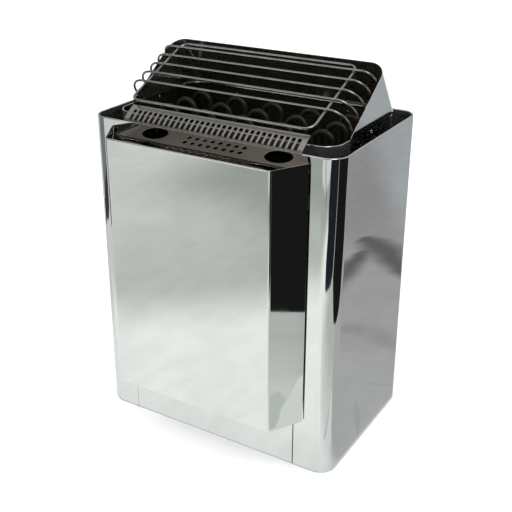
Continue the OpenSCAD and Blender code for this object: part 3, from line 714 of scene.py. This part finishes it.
def build_tub():
    s = Solid()
    ring = rrect(TUB_HW, TUB_Y0, TUB_Y1, TUB_R, 22)
    hem = 1.1
    rows = [(TUB_Z0, 0.0, 0.0), (TUB_Z1 - hem, 0.0, 0.0)]
    rows += [(TUB_Z1 - hem + hem * math.sin(a), hem - hem * math.cos(a), a)
             for a in (math.radians(15 * k) for k in range(1, 13))]
    rows += [(TUB_Z1 - 2.8, 2 * hem, math.pi)]
    n, m = len(ring), len(rows)
    verts, normals, faces = [], [], []
    for x, y, nx, ny in ring:
        for z, d, a in rows:
            verts.append((x - nx * d, y - ny * d, z))
            normals.append((nx * math.cos(a), ny * math.cos(a), math.sin(a)))
    for i in range(n):
        k = (i + 1) % n
        for j in range(m - 1):
            faces.append((i * m + j, k * m + j, k * m + j + 1, i * m + j + 1))
    s.shell(verts, normals, faces, 1.0)
    for x in (-TUB_HW + 1, TUB_HW - 16):
        s.block((x, TUB_Y0 + TUB_R, TUB_Z0), (x + 15, TUB_Y1 - TUB_R, TUB_Z0 + 1))
    for y in (TUB_Y0 + 1, TUB_Y1 - 16):
        s.block((-(TUB_HW - TUB_R), y, TUB_Z0), (TUB_HW - TUB_R, y + 15, TUB_Z0 + 1))

    # inside the well the steel is near-black and the outer wall below the rim is the darker gap steel: both painted
    # shade
    def pick(c, normal):
        if c[2] > TUB_Z1 - 3.2:
            return 0
        cx, cy = c[0], c[1] - (TUB_Y0 + TUB_Y1) / 2
        edge = max(-TUB_HW + 29, min(TUB_HW - 29, cx)), max(-77, min(77, cy))
        out = (cx - edge[0]) * normal.x + (cy - edge[1]) * normal.y
        return 2 if out > 0.5 and abs(normal.z) < 0.5 else 1

    return s.make("stone_well", "heater", [MIRROR, WELL_SHADE_AND_TINT, GAP_SHADE_STEEL], ["stone_tub"], bevel=0.2, pick=pick)


# ---- rear guard --------------------------------------------------------------

LEAN = SLOPE = math.radians(34.7)
G_OUT, G_R, G_Y, FOLD_Z, G_LEN = 183.9, 26.0, 241.6, 500.0, 95.5
WING_Y = 76.0
WING_Z = FOLD_Z + G_LEN * math.cos(LEAN) + (WING_Y - G_Y + G_LEN * math.sin(LEAN)) * math.tan(LEAN)


def build_rear_guard():
    s = Solid()
    sl, cl = math.sin(LEAN), math.cos(LEAN)

    def up(x, y, z):
        return (x, G_Y + y * cl - z * sl, FOLD_Z + y * sl + z * cl)

    # right half: bend, then the flat back to the middle
    cols = []
    for k in range(37):
        a = math.radians(90 * k / 36)
        cols.append((G_OUT - G_R + G_R * math.cos(a), -G_R + G_R * math.sin(a), math.cos(a), math.sin(a)))
    back = [(153.8, 0.0, 0.0, 1.0), (-153.8, 0.0, 0.0, 1.0)]
    cols = cols + back + [(-x, y, -nx, ny) for x, y, nx, ny in reversed(cols)]
    verts, normals, faces, low, high = [], [], [], [], []
    r = 3.0
    tl = r * math.tan(LEAN / 2)

    def add(p, nx, ny, nz):
        verts.append(p)
        normals.append((nx, ny, nz))
        return len(verts) - 1

    for x, y, nx, ny in cols:
        n = (nx, ny * cl, ny * sl)
        zb = -y * math.tan(LEAN) if abs(x) > 154 else tl
        low.append(add(up(x, y, zb), *n))
        high.append(add(up(x, y, G_LEN), *n))
    for i in range(len(cols) - 1):
        faces.append((low[i], low[i + 1], high[i + 1], high[i]))
    # upright flange below the back, folded round
    i = cols.index(back[0])
    prev = (low[i], low[i + 1])
    cy, cz = G_Y - r, FOLD_Z - tl
    for k in range(1, 7):
        a = LEAN * (1 - k / 6)
        q = [add((x, cy + r * math.cos(a), cz + r * math.sin(a)), 0, math.cos(a), math.sin(a)) for x in (153.8, -153.8)]
        faces.append((q[0], q[1], prev[1], prev[0]))
        prev = tuple(q)
    q = [add((x, G_Y, FOLD_Z - 30), 0, 1, 0) for x in (153.8, -153.8)]
    faces.append((q[0], q[1], prev[1], prev[0]))
    # flat wings
    yb = G_Y - G_R / cl
    for side, lo, hi in ((1, low[0], high[0]), (-1, low[-1], high[-1])):
        x = side * G_OUT
        rim = [(WING_Y, WING_Z), (WING_Y, FOLD_Z - 30), (yb - 4, FOLD_Z - 30), (yb - 4, FOLD_Z - 1.6),
               (yb - 3.2, FOLD_Z - 0.4), (yb - 2, FOLD_Z)]
        ids = [add((x, y, z), side, 0, 0) for y, z in rim]
        loop = ids + [lo, hi]
        faces.append(tuple(loop) if side > 0 else tuple(reversed(loop)))
    s.shell(verts, normals, faces, 1.0)
    # the guard's inner faces take the darker copy of the steel: painted shade
    def pick(p, n):
        inner = p[0] * n.x < -0.3 * abs(p[0]) or (n.y < -0.4 and n.z < 0.2 and abs(p[0]) < 182)
        return 1 if inner else 0

    return s.make("leaning_guard", "heater", [MIRROR, GUARD_SHADE], ["rear_guard"], bevel=0.32, steps=3, pick=pick)


# ---- wire guard --------------------------------------------------------------

L_SLOPE = math.radians(22.6)
L_Y, L_Z, L_HW, L_R = 100.0, 549.5, 149.0, 14.0
L_Y0, L_Y1 = 26.9, 163.5
ROD, WIRE_D = 4.0, 3.5
WIRE_X, WIRE_R, HOOK = 179.4, 26.0, 5.0


def frame_at(x, a, n=0.0):
    """Point of the guard's plane, n above it."""
    return (x, L_Y + a * math.cos(L_SLOPE) - n * math.sin(L_SLOPE), L_Z + a * math.sin(L_SLOPE) + n * math.cos(L_SLOPE))


def build_wire_guard():
    s = Solid()
    a, b = (L_Y0 - L_Y) / math.cos(L_SLOPE), (L_Y1 - L_Y) / math.cos(L_SLOPE)
    ring = rrect(L_HW, a, b, L_R, 14, front=(-60, 0, 60), back=(-60, 0, 60), side=((a + b) / 2,))
    tube(s, [frame_at(x, y) for x, y, _, _ in ring], ROD / 2, 24, closed=True)
    s.make("guard_frame_rod", "wire_guard", WIRE, ["guard_frame"], weighted=False, sharp=60)
    lift = (ROD + WIRE_D) / 2
    welds = Solid()
    rng = np.random.default_rng(7)
    for k in range(1, 6):
        w = Solid()
        y = 150.0 - 21.25 * (k - 1)
        z = L_Z + math.tan(L_SLOPE) * (y - L_Y)
        p = (y - lift * math.sin(L_SLOPE), z + lift * math.cos(L_SLOPE))
        drop = math.cos(SLOPE) * (p[1] - WING_Z) - math.sin(SLOPE) * (p[0] - WING_Y) + HOOK
        r = min(WIRE_R, math.floor(drop - 4))

        def at(x, d):
            return (x, p[0] + d * math.sin(SLOPE), p[1] - d * math.cos(SLOPE))

        half = [at(WIRE_X, drop), at(WIRE_X, drop * 0.5 + r * 0.5)]
        half += [at(WIRE_X - r + r * math.cos(t), r - r * math.sin(t))
                 for t in (math.radians(90 * j / 18) for j in range(19))]
        line = half + [at(x, 0) for x in (100, 0, -100)] + [(-x, yy, zz) for x, yy, zz in reversed(half)]
        tube(w, line, WIRE_D / 2, 22)
        w.make(f"guard_cross_wire_{k}", "wire_guard", WIRE, [f"guard_wire_{k}"], weighted=False, sharp=60)
        # resistance welds where the wire crosses the frame's sides
        for side in (-1, 1):
            nu, nv = 9, 18
            along_y = np.array([0, math.cos(L_SLOPE), math.sin(L_SLOPE)])
            up = np.array([0, -math.sin(L_SLOPE), math.cos(L_SLOPE)])
            a0 = (y - L_Y) / math.cos(L_SLOPE)
            centre = np.array(frame_at(side * L_HW, a0, 1.95))
            verts, faces = [centre + 1.35 * up], []
            for i in range(1, nu):
                th = math.pi * i / nu
                for j in range(nv):
                    ph = 2 * math.pi * j / nv
                    q = 1 + 0.10 * math.sin(3 * ph + k) * math.sin(2 * th) + 0.03 * rng.standard_normal()
                    verts.append(centre + q * (2.35 * math.sin(th) * math.cos(ph) * np.array([1, 0, 0])
                                               + 2.75 * math.sin(th) * math.sin(ph) * along_y + 1.35 * math.cos(th) * up))
            verts.append(centre - 1.35 * up)
            n = len(verts)
            for j in range(nv):
                h = (j + 1) % nv
                faces.append((0, 1 + j, 1 + h))
                faces += [(1 + i * nv + j, 1 + (i + 1) * nv + j, 1 + (i + 1) * nv + h, 1 + i * nv + h)
                          for i in range(nu - 2)]
                faces.append((n - 1, n - 1 - nv + h, n - 1 - nv + j))
            welds.add(verts, faces)
    welds.make("guard_weld_beads", "wire_guard", WELD, weighted=False, sharp=80)


# ---- rivets, back panel ------------------------------------------------------


def rivet_profile(grip):
    """Blind rivet: low dome with the sunk stem in the middle, shank and the set head behind the sheets."""
    dome = [(0.0, 0.62), (0.45, 0.66), (0.62, 0.60), (0.72, 0.42), (0.86, 0.42), (0.98, 1.02), (1.12, 1.22)]
    dome += [(3.2 * math.sin(a), 1.3 * math.cos(a) ** 0.9) for a in (math.radians(x) for x in (26, 38, 50, 62, 74, 84))]
    dome += [(3.2, 0.0), (1.6, 0.0), (1.6, -grip), (2.5, -grip), (2.75, -grip - 0.4), (2.3, -grip - 0.9),
             (0.0, -grip - 1.0)]
    return dome


def build_rivets():
    s = Solid()
    for side in (-1, 1):
        lathe(s, rivet_profile(2.1), Matrix.Translation((side * G_OUT, 141, 492))
              @ Matrix.Rotation(side * math.pi / 2, 4, "Y"))
        lathe(s, rivet_profile(2.1), Matrix.Translation((side * 100, G_Y, 485)) @ Matrix.Rotation(-math.pi / 2, 4, "X"))
    s.make("guard_blind_rivets", "heater", ZINC, ["guard_rivets"], weighted=False)
    s = Solid()
    for x in (-120, -40, 40, 120):
        lathe(s, rivet_profile(2.0), Matrix.Translation((x, 0, 465.5)) @ Matrix.Rotation(math.pi / 2, 4, "X"))
    s.make("deflector_blind_rivets", "heater", ZINC, ["deflector_rivets"], weighted=False)


def build_rear_panel():
    s = Solid()

    def put(u, v, w):
        return (-u, DEPTH - 1.0 + w, v)

    holes = [circle(sx * 157.5, z, 1.85, 16) for sx in (-1, 1) for z in (60, 245, 430)]
    holes += [circle(sx * 90, z, 3.5, 24) for sx in (-1, 1) for z in (110, 410)]
    holes += [round_box(x - 3, x + 3, z, z + 50, 1.2, 4) for x in range(-110, 111, 20) for z in (200, 300)]
    plate(s, round_box(-165, 165, 20, 470, 3, 6), holes, 1.0, put, edge=0.3)
    s.make("back_panel", "heater", SHEET, ["rear_panel"])


build_casing()
build_access_panel()
build_cover()
build_deflector()
build_tub()
build_rear_guard()
build_wire_guard()
build_rivets()
build_rear_panel()

# ---- finishes of the pieces that stay as they are ----------------------------

# the grate rails and element plate take the well's painted-shade steel, the grate and elements the extra-dark sheath,
# the cover brackets the painted-shade inner sheet
FINISH = {
    "access_panel_screws": ZINC, "rear_panel_screws": ZINC, "cover_brackets": SHADED_INNER, "tub_brackets": GALV,
    "stone_grate": TUBE, "grate_rails": WELL_SHADE_AND_TINT, "heating_element_front": TUBE, "heating_element_middle": TUBE,
    "heating_element_rear": TUBE, "element_plate": WELL_SHADE_AND_TINT, "plate_screws": ZINC, "element_glands": BRASS,
    "element_nuts": BRASS, "ceramic_beads": CERAMIC, "terminal_pins": ZINC, "star_link": BRASS,
    "lead_wires": SLEEVE, "base_plate": GALV, "terminal_block": CERAMIC, "terminal_screws": BRASS,
    "earth_stud": BRASS, "gland_body": BLACK, "gland_cap": BLACK, "gland_locknut": BLACK,
    "limiter_body": BLACK, "limiter_nut": ZINC, "reset_button": RED, "sensor_bulb": COPPER, "bulb_clips": ZINC,
}
HARD = {"access_panel_screws", "rear_panel_screws", "cover_brackets", "tub_brackets", "base_plate", "terminal_block",
        "terminal_screws", "element_nuts", "earth_stud", "gland_body", "gland_cap", "gland_locknut", "limiter_body",
        "limiter_nut", "plate_screws", "star_link", "element_plate", "reset_button"}
for name, m in FINISH.items():
    o = nodes[name]
    o.data.materials.clear()
    o.data.materials.append(m)
    if name in HARD:
        w = o.modifiers.new("join", "WELD")
        w.merge_threshold = 1e-6
        b = o.modifiers.new("edges", "BEVEL")
        b.width, b.segments, b.limit_method, b.angle_limit = 0.00028, 2, "ANGLE", math.radians(50)
        b.use_clamp_overlap, b.harden_normals = True, False
        n = o.modifiers.new("flat_faces", "WEIGHTED_NORMAL")
        n.keep_sharp, n.weight = False, 60

# ---- studio ------------------------------------------------------------------


def floor_sheet(name, points, z, material):
    me = bpy.data.meshes.new(name)
    me.from_pydata([(x, y, z) for x, y in points], [], [tuple(range(len(points)))])
    me.materials.append(material)
    o = bpy.data.objects.new(name, me)
    bpy.context.scene.collection.objects.link(o)
    return o


def reflector(o):
    """Seen in polished metal alone."""
    o.visible_camera = o.visible_diffuse = o.visible_shadow = False
    o.visible_transmission = o.visible_volume_scatter = False
    return o


def floor_material():
    m = bpy.data.materials.new("studio_floor")
    t = Tree(m)
    p = t.node("ShaderNodeBsdfPrincipled")
    t.put(p.inputs["Base Color"], t.mix(t.noise(1.4, 3.0), rgb(0.955, 0.955, 0.955), rgb(0.94, 0.942, 0.945)))
    p.inputs["Roughness"].default_value = 0.9
    p.inputs["Specular IOR Level"].default_value = 0.1
    p.inputs["Emission Color"].default_value = rgb(1.0, 1.0, 1.0)
    p.inputs["Emission Strength"].default_value = 0.26
    t.t.links.new(p.outputs[0], t.out.inputs[0])
    return m


def glow(name, colour, strength):
    m = bpy.data.materials.new(name)
    t = Tree(m)
    e = t.node("ShaderNodeEmission")
    e.inputs["Color"].default_value = rgb(*colour)
    e.inputs["Strength"].default_value = strength
    t.t.links.new(e.outputs[0], t.out.inputs[0])
    return m


def room_material():
    """What the polished sides see on the ground round the heater: a white paper sheet that fades into a grey room."""
    m = bpy.data.materials.new("studio_ground")
    t = Tree(m)
    s = t.node("ShaderNodeSeparateXYZ", {"Vector": t.coords})
    x, y = s.outputs["X"], s.outputs["Y"]
    wob = t.math("MULTIPLY", t.math("SUBTRACT", t.noise(3.2, 3.0, distort=0.5), 0.5), 0.14)
    down = t.math("ADD", t.math("MULTIPLY", y, -1.0), wob)
    white = t.mix(t.step(down, 0.10, 0.26), rgb(0.86, 0.89, 0.875), rgb(0.97, 1.0, 0.985))
    pale = t.mix(t.step(x, -0.80, -0.20), rgb(0.69, 0.725, 0.69), rgb(0.545, 0.58, 0.54))
    # in front: white near the heater, then a pale green grey
    far_front = t.math("SUBTRACT", down, t.math("MULTIPLY", x, 0.75))
    colour = t.mix(t.step(far_front, 0.58, 0.90), white, pale)
    shade = t.math("MULTIPLY", t.step(down, 0.86, 1.22), t.step(x, -0.92, -0.60))
    colour = t.mix(shade, colour, rgb(0.385, 0.41, 0.385))
    colour = t.mix(t.math("MULTIPLY", t.step(down, 1.24, 1.34), t.step(x, -0.42, -0.30)), colour, rgb(0.72, 0.73, 0.74))
    # to the left
    left = t.math("MULTIPLY", t.step(x, -0.62, -0.36, 1.0, 0.0), t.step(y, -0.42, -0.20))
    colour = t.mix(left, colour, rgb(0.66, 0.68, 0.68))
    # to the right
    right = t.math("MULTIPLY", t.step(x, 0.20, 0.30), t.step(y, -0.75, -0.45))
    colour = t.mix(right, colour, t.mix(t.step(x, 0.25, 0.56), rgb(0.72, 0.75, 0.73), rgb(0.505, 0.535, 0.505)))
    side = t.math("MULTIPLY", t.step(x, 0.17, 0.21), t.step(y, -0.115, -0.045))
    colour = t.mix(side, colour, rgb(0.445, 0.455, 0.46))
    back = t.math("MULTIPLY", t.step(x, 0.18, 0.22), t.step(t.math("ADD", y, wob), 0.14, 0.34))
    colour = t.mix(back, colour, rgb(0.395, 0.39, 0.395))
    slant = t.math("ADD", t.math("SUBTRACT", x, t.math("MULTIPLY", y, 0.55)), t.math("MULTIPLY", wob, 0.3))
    out = t.math("MULTIPLY", t.step(x, 0.1, 0.3), t.step(y, 0.58, 0.80))
    colour = t.mix(out, colour, t.mix(t.step(slant, -0.03, 0.08), rgb(0.40, 0.425, 0.45), rgb(0.325, 0.315, 0.325)))
    cloud = t.math("ADD", t.noise(7.0, 6.0, distort=1.4), t.noise(26.0, 4.0, stretch=(1.0, 0.35, 1.0)))
    e = t.node("ShaderNodeEmission", {"Color": colour, "Strength": t.step(cloud, 0.70, 1.30, 0.955, 1.04)})
    t.t.links.new(e.outputs[0], t.out.inputs[0])
    return m


def sky_material():
    """What up-facing metal sees: a dim room in front, a lit ceiling, one bright panel to the right."""
    m = bpy.data.materials.new("studio_ceiling")
    t = Tree(m)
    d = t.node("ShaderNodeVectorMath", {0: t.coords}, operation="NORMALIZE")
    s = t.node("ShaderNodeSeparateXYZ", {"Vector": d.outputs[0]})
    x, y, z = s.outputs["X"], s.outputs["Y"], s.outputs["Z"]
    colour = t.mix(t.step(z, 0.46, 1.06), rgb(0.050, 0.048, 0.043), rgb(0.74, 0.725, 0.69))
    colour = t.mix(t.step(y, -0.15, 0.55, 0.0, 0.85), colour, rgb(0.52, 0.525, 0.53))
    panel = t.math("ADD", t.math("MULTIPLY", x, 0.45), t.math("SUBTRACT", t.math("MULTIPLY", z, 0.82), t.math("MULTIPLY", y, 0.35)))
    colour = t.mix(t.step(panel, 0.955, 0.975), colour, rgb(3.2, 3.2, 3.2))
    # low lamp in front, which draws a thin line along the folds
    lamp = t.math("SUBTRACT", t.math("MULTIPLY", z, 0.195), t.math("ADD", t.math("MULTIPLY", x, 0.48), t.math("MULTIPLY", y, 0.856)))
    colour = t.mix(t.step(lamp, 0.978, 0.994), colour, rgb(1.7, 1.7, 1.67))
    e = t.node("ShaderNodeEmission", {"Color": colour})
    e.inputs["Strength"].default_value = 1.0
    t.t.links.new(e.outputs[0], t.out.inputs[0])
    return m


def sky_dome(radius, material):
    verts, faces = [(0.0, 0.0, radius)], []
    n, m = 48, 16
    for i in range(1, m + 1):
        a = math.pi / 2 * i / m
        verts += [(radius * math.sin(a) * math.cos(2 * math.pi * k / n), radius * math.sin(a) * math.sin(2 * math.pi * k / n),
                   radius * math.cos(a)) for k in range(n)]
    for k in range(n):
        h = (k + 1) % n
        faces.append((0, 1 + h, 1 + k))
        faces += [(1 + i * n + k, 1 + i * n + h, 1 + (i + 1) * n + h, 1 + (i + 1) * n + k) for i in range(m - 1)]
    me = bpy.data.meshes.new("ceiling_seen_in_metal")
    me.from_pydata(verts, [], faces)
    me.materials.append(material)
    o = bpy.data.objects.new("ceiling_seen_in_metal", me)
    bpy.context.scene.collection.objects.link(o)
    return o


floor_sheet("studio_floor", [(-14, -14), (14, -14), (14, 18), (-14, 18)], 0.0, floor_material())
reflector(floor_sheet("ground_seen_in_metal", [(-9, -9), (9, -9), (9, 12), (-9, 12)], 0.0008, room_material()))
reflector(sky_dome(9.0, sky_material()))
black = glow("black_flag", (0.0105, 0.0100, 0.0102), 1.0)
blue = glow("blue_flag", (0.0150, 0.0158, 0.0250), 1.0)
reflector(floor_sheet("flag_right", [(0.652, -0.165), (0.69, -0.22), (0.745, -0.30), (0.80, -0.375), (2.4, -0.43), (2.6, 2.2),
                                     (1.6, 1.85), (1.2, 1.55), (1.02, 1.25), (0.95, 0.99), (0.94, 0.85), (0.87, 0.73), (0.79, 0.61), (0.75, 0.49),
                                     (0.72, 0.36), (0.675, 0.28), (0.652, 0.14)], 0.0016, black))
reflector(floor_sheet("flag_front", [(0.385, -0.665), (0.43, -0.80), (0.57, -0.94), (0.60, -1.10), (0.72, -1.18), (0.77, -1.29),
                                     (0.88, -1.36), (1.4, -2.2), (2.6, -2.4), (2.6, -0.47), (0.80, -0.415), (0.70, -0.475), (0.56, -0.575)], 0.0016, blue))
grey = glow("grey_flag", (0.20, 0.205, 0.222), 1.0)
reflector(floor_sheet("flag_left", [(-0.97, -0.93), (-1.15, -0.10), (-2.4, -0.10), (-2.4, -2.2), (-1.25, -1.28)], 0.0016, grey))
reflector(floor_sheet("flag_left_core", [(-0.82, -0.72), (-0.86, -0.55), (-0.97, -0.30), (-0.95, -0.06), (-1.12, -0.02),
                                         (-1.20, -0.50), (-1.08, -1.00), (-0.90, -0.86)], 0.0018,
                      glow("dark_flag", (0.045, 0.044, 0.052), 1.0)))
# thin shade where the casing meets the floor
foot = glow("foot_shade", (0.66, 0.67, 0.665), 1.0)
for k, (x0, x1, y0, y1) in enumerate(((-0.190, 0.190, -0.1097, -0.1062), (0.2045, 0.2080, -0.092, 0.148),
                                      (-0.2080, -0.2045, -0.092, 0.148), (-0.190, 0.190, 0.1582, 0.1617))):
    reflector(floor_sheet(f"foot_shade_{k + 1}", [(x0, y0), (x1, y0), (x1, y1), (x0, y1)], 0.0012, foot))


# sheet of paper turned up in front of the right corner
reflector(floor_sheet("paper_light", [(0.262, -0.148), (0.287, -0.140), (0.316, -0.136), (0.345, -0.125), (0.375, -0.114),
                                      (0.404, -0.105), (0.420, -0.096), (0.425, -0.085), (0.36, -0.078), (0.28, -0.078),
                                      (0.25, -0.10)], 0.0014, glow("paper_light", (0.745, 0.785, 0.765), 1.0)))
reflector(floor_sheet("paper_shade", [(0.255, -0.160), (0.350, -0.160), (0.370, -0.138), (0.345, -0.125), (0.316, -0.136),
                                      (0.287, -0.140), (0.262, -0.148)], 0.0014, glow("paper_shade", (0.560, 0.595, 0.575), 1.0)))


def fold_material(name, most):
    m = bpy.data.materials.new(name)
    t = Tree(m)
    uv = t.node("ShaderNodeUVMap")
    uv.uv_map = "across"
    s = t.node("ShaderNodeSeparateXYZ", {"Vector": uv.outputs[0]})
    d = t.math("ABSOLUTE", t.math("SUBTRACT", s.outputs["Y"], 0.5))
    cover = t.step(d, 0.04, 0.5, most, 0.0)
    e = t.node("ShaderNodeEmission")
    e.inputs["Color"].default_value = rgb(0.105, 0.100, 0.104)
    e.inputs["Strength"].default_value = 1.0
    clear = t.node("ShaderNodeBsdfTransparent")
    mx = t.node("ShaderNodeMixShader", {0: cover, 1: clear.outputs[0], 2: e.outputs[0]})
    t.t.links.new(mx.outputs[0], t.out.inputs[0])
    return m


def ribbon(name, line, widths, z, material):
    """Soft dark crease on the ground."""
    p = np.asarray(line, float)
    d = np.gradient(p, axis=0)
    d /= np.linalg.norm(d, axis=1)[:, None]
    n = np.c_[-d[:, 1], d[:, 0]]
    w = np.asarray(widths, float)[:, None] / 2
    verts = [(*q, z) for q in np.vstack([p - n * w, p + n * w])]
    c = len(p)
    me = bpy.data.meshes.new(name)
    me.from_pydata(verts, [], [(i, i + 1, c + i + 1, c + i) for i in range(c - 1)])
    layer = me.uv_layers.new(name="across")
    for loop in me.loops:
        layer.data[loop.index].uv = ((loop.vertex_index % c) / (c - 1), 0.0 if loop.vertex_index < c else 1.0)
    me.materials.append(material)
    o = bpy.data.objects.new(name, me)
    bpy.context.scene.collection.objects.link(o)
    return o


crease, faint, thin = fold_material("paper_fold", 0.88), fold_material("faint_fold", 0.19), fold_material("thin_fold", 0.12)
reflector(ribbon("crease_a", [(0.474, 0.40), (0.482, 0.48), (0.486, 0.55), (0.487, 0.61), (0.490, 0.66)],
                 [0.03, 0.075, 0.085, 0.065, 0.03], 0.0020, crease))
reflector(ribbon("crease_b", [(0.520, 0.735), (0.497, 0.715), (0.468, 0.690), (0.424, 0.645), (0.383, 0.603), (0.33, 0.56)],
                 [0.06, 0.13, 0.155, 0.125, 0.095, 0.06], 0.0022, crease))
reflector(ribbon("crease_c", [(0.06, -1.78), (0.13, -1.53), (0.17, -1.43), (0.25, -1.31), (0.34, -1.16)],
                 [0.12, 0.13, 0.13, 0.12, 0.06], 0.0020, crease))
reflector(ribbon("crease_d", [(0.40, 0.295), (0.36, 0.318), (0.325, 0.322), (0.286, 0.300), (0.245, 0.290)],
                 [0.03, 0.07, 0.09, 0.08, 0.06], 0.0024, faint))
reflector(ribbon("crease_e", [(0.268, 0.165), (0.250, 0.158), (0.236, 0.160), (0.224, 0.170)],
                 [0.004, 0.018, 0.018, 0.006], 0.0024, thin))
reflector(ribbon("crease_f", [(0.252, 0.096), (0.240, 0.070), (0.226, 0.042), (0.211, 0.010)],
                 [0.004, 0.016, 0.016, 0.006], 0.0024, thin))

world = bpy.data.worlds.new("studio")
bpy.context.scene.world = world
world.use_nodes = True
world.node_tree.nodes["Background"].inputs["Color"].default_value = (0.97, 0.985, 1.0, 1.0)
world.node_tree.nodes["Background"].inputs["Strength"].default_value = 1.06


def softbox(name, place, aim, w, h, power, colour=(1, 1, 1)):
    li = bpy.data.lights.new(name, "AREA")
    li.shape, li.size, li.size_y, li.energy, li.color = "RECTANGLE", w, h, power, colour
    o = bpy.data.objects.new(name, li)
    o.location = place
    o.rotation_euler = (Vector(aim) - Vector(place)).to_track_quat("-Z", "Y").to_euler()
    o.visible_glossy = False
    bpy.context.scene.collection.objects.link(o)
    return o


softbox("key_light", (-1.5, -1.7, 2.6), (0, 0, 0.3), 1.3, 1.0, 34, (1.0, 0.985, 0.96))
softbox("fill_light", (2.2, 0.6, 2.2), (0, 0, 0.35), 1.2, 1.2, 14, (0.95, 0.97, 1.0))

cam = bpy.data.cameras.new("photo_camera")
cam.sensor_fit, cam.sensor_width = "HORIZONTAL", 36.0
cam.lens = 904.8766 / 512 * 36
cam.shift_x, cam.shift_y = (256 - 245.4574) / 512, (237.3257 - 256) / 512
cam.clip_start, cam.clip_end = 0.05, 60
eye = bpy.data.objects.new("photo_camera", cam)
bpy.context.scene.collection.objects.link(eye)
right = Vector((0.8523698, 0.5229359, -0.0019434))
down = Vector((0.2092663, -0.3444989, -0.9151656))
ahead = Vector((-0.4792425, 0.7796528, -0.4030733))
eye.matrix_world = Matrix.Translation((0.670498, -1.09349, 0.8670855)) @ Matrix(
    (right, -down, -ahead)).transposed().to_4x4()
bpy.context.scene.camera = eye

view = bpy.context.scene.view_settings
view.view_transform, view.look, view.exposure, view.gamma = "Standard", "None", 0.0, 1.0
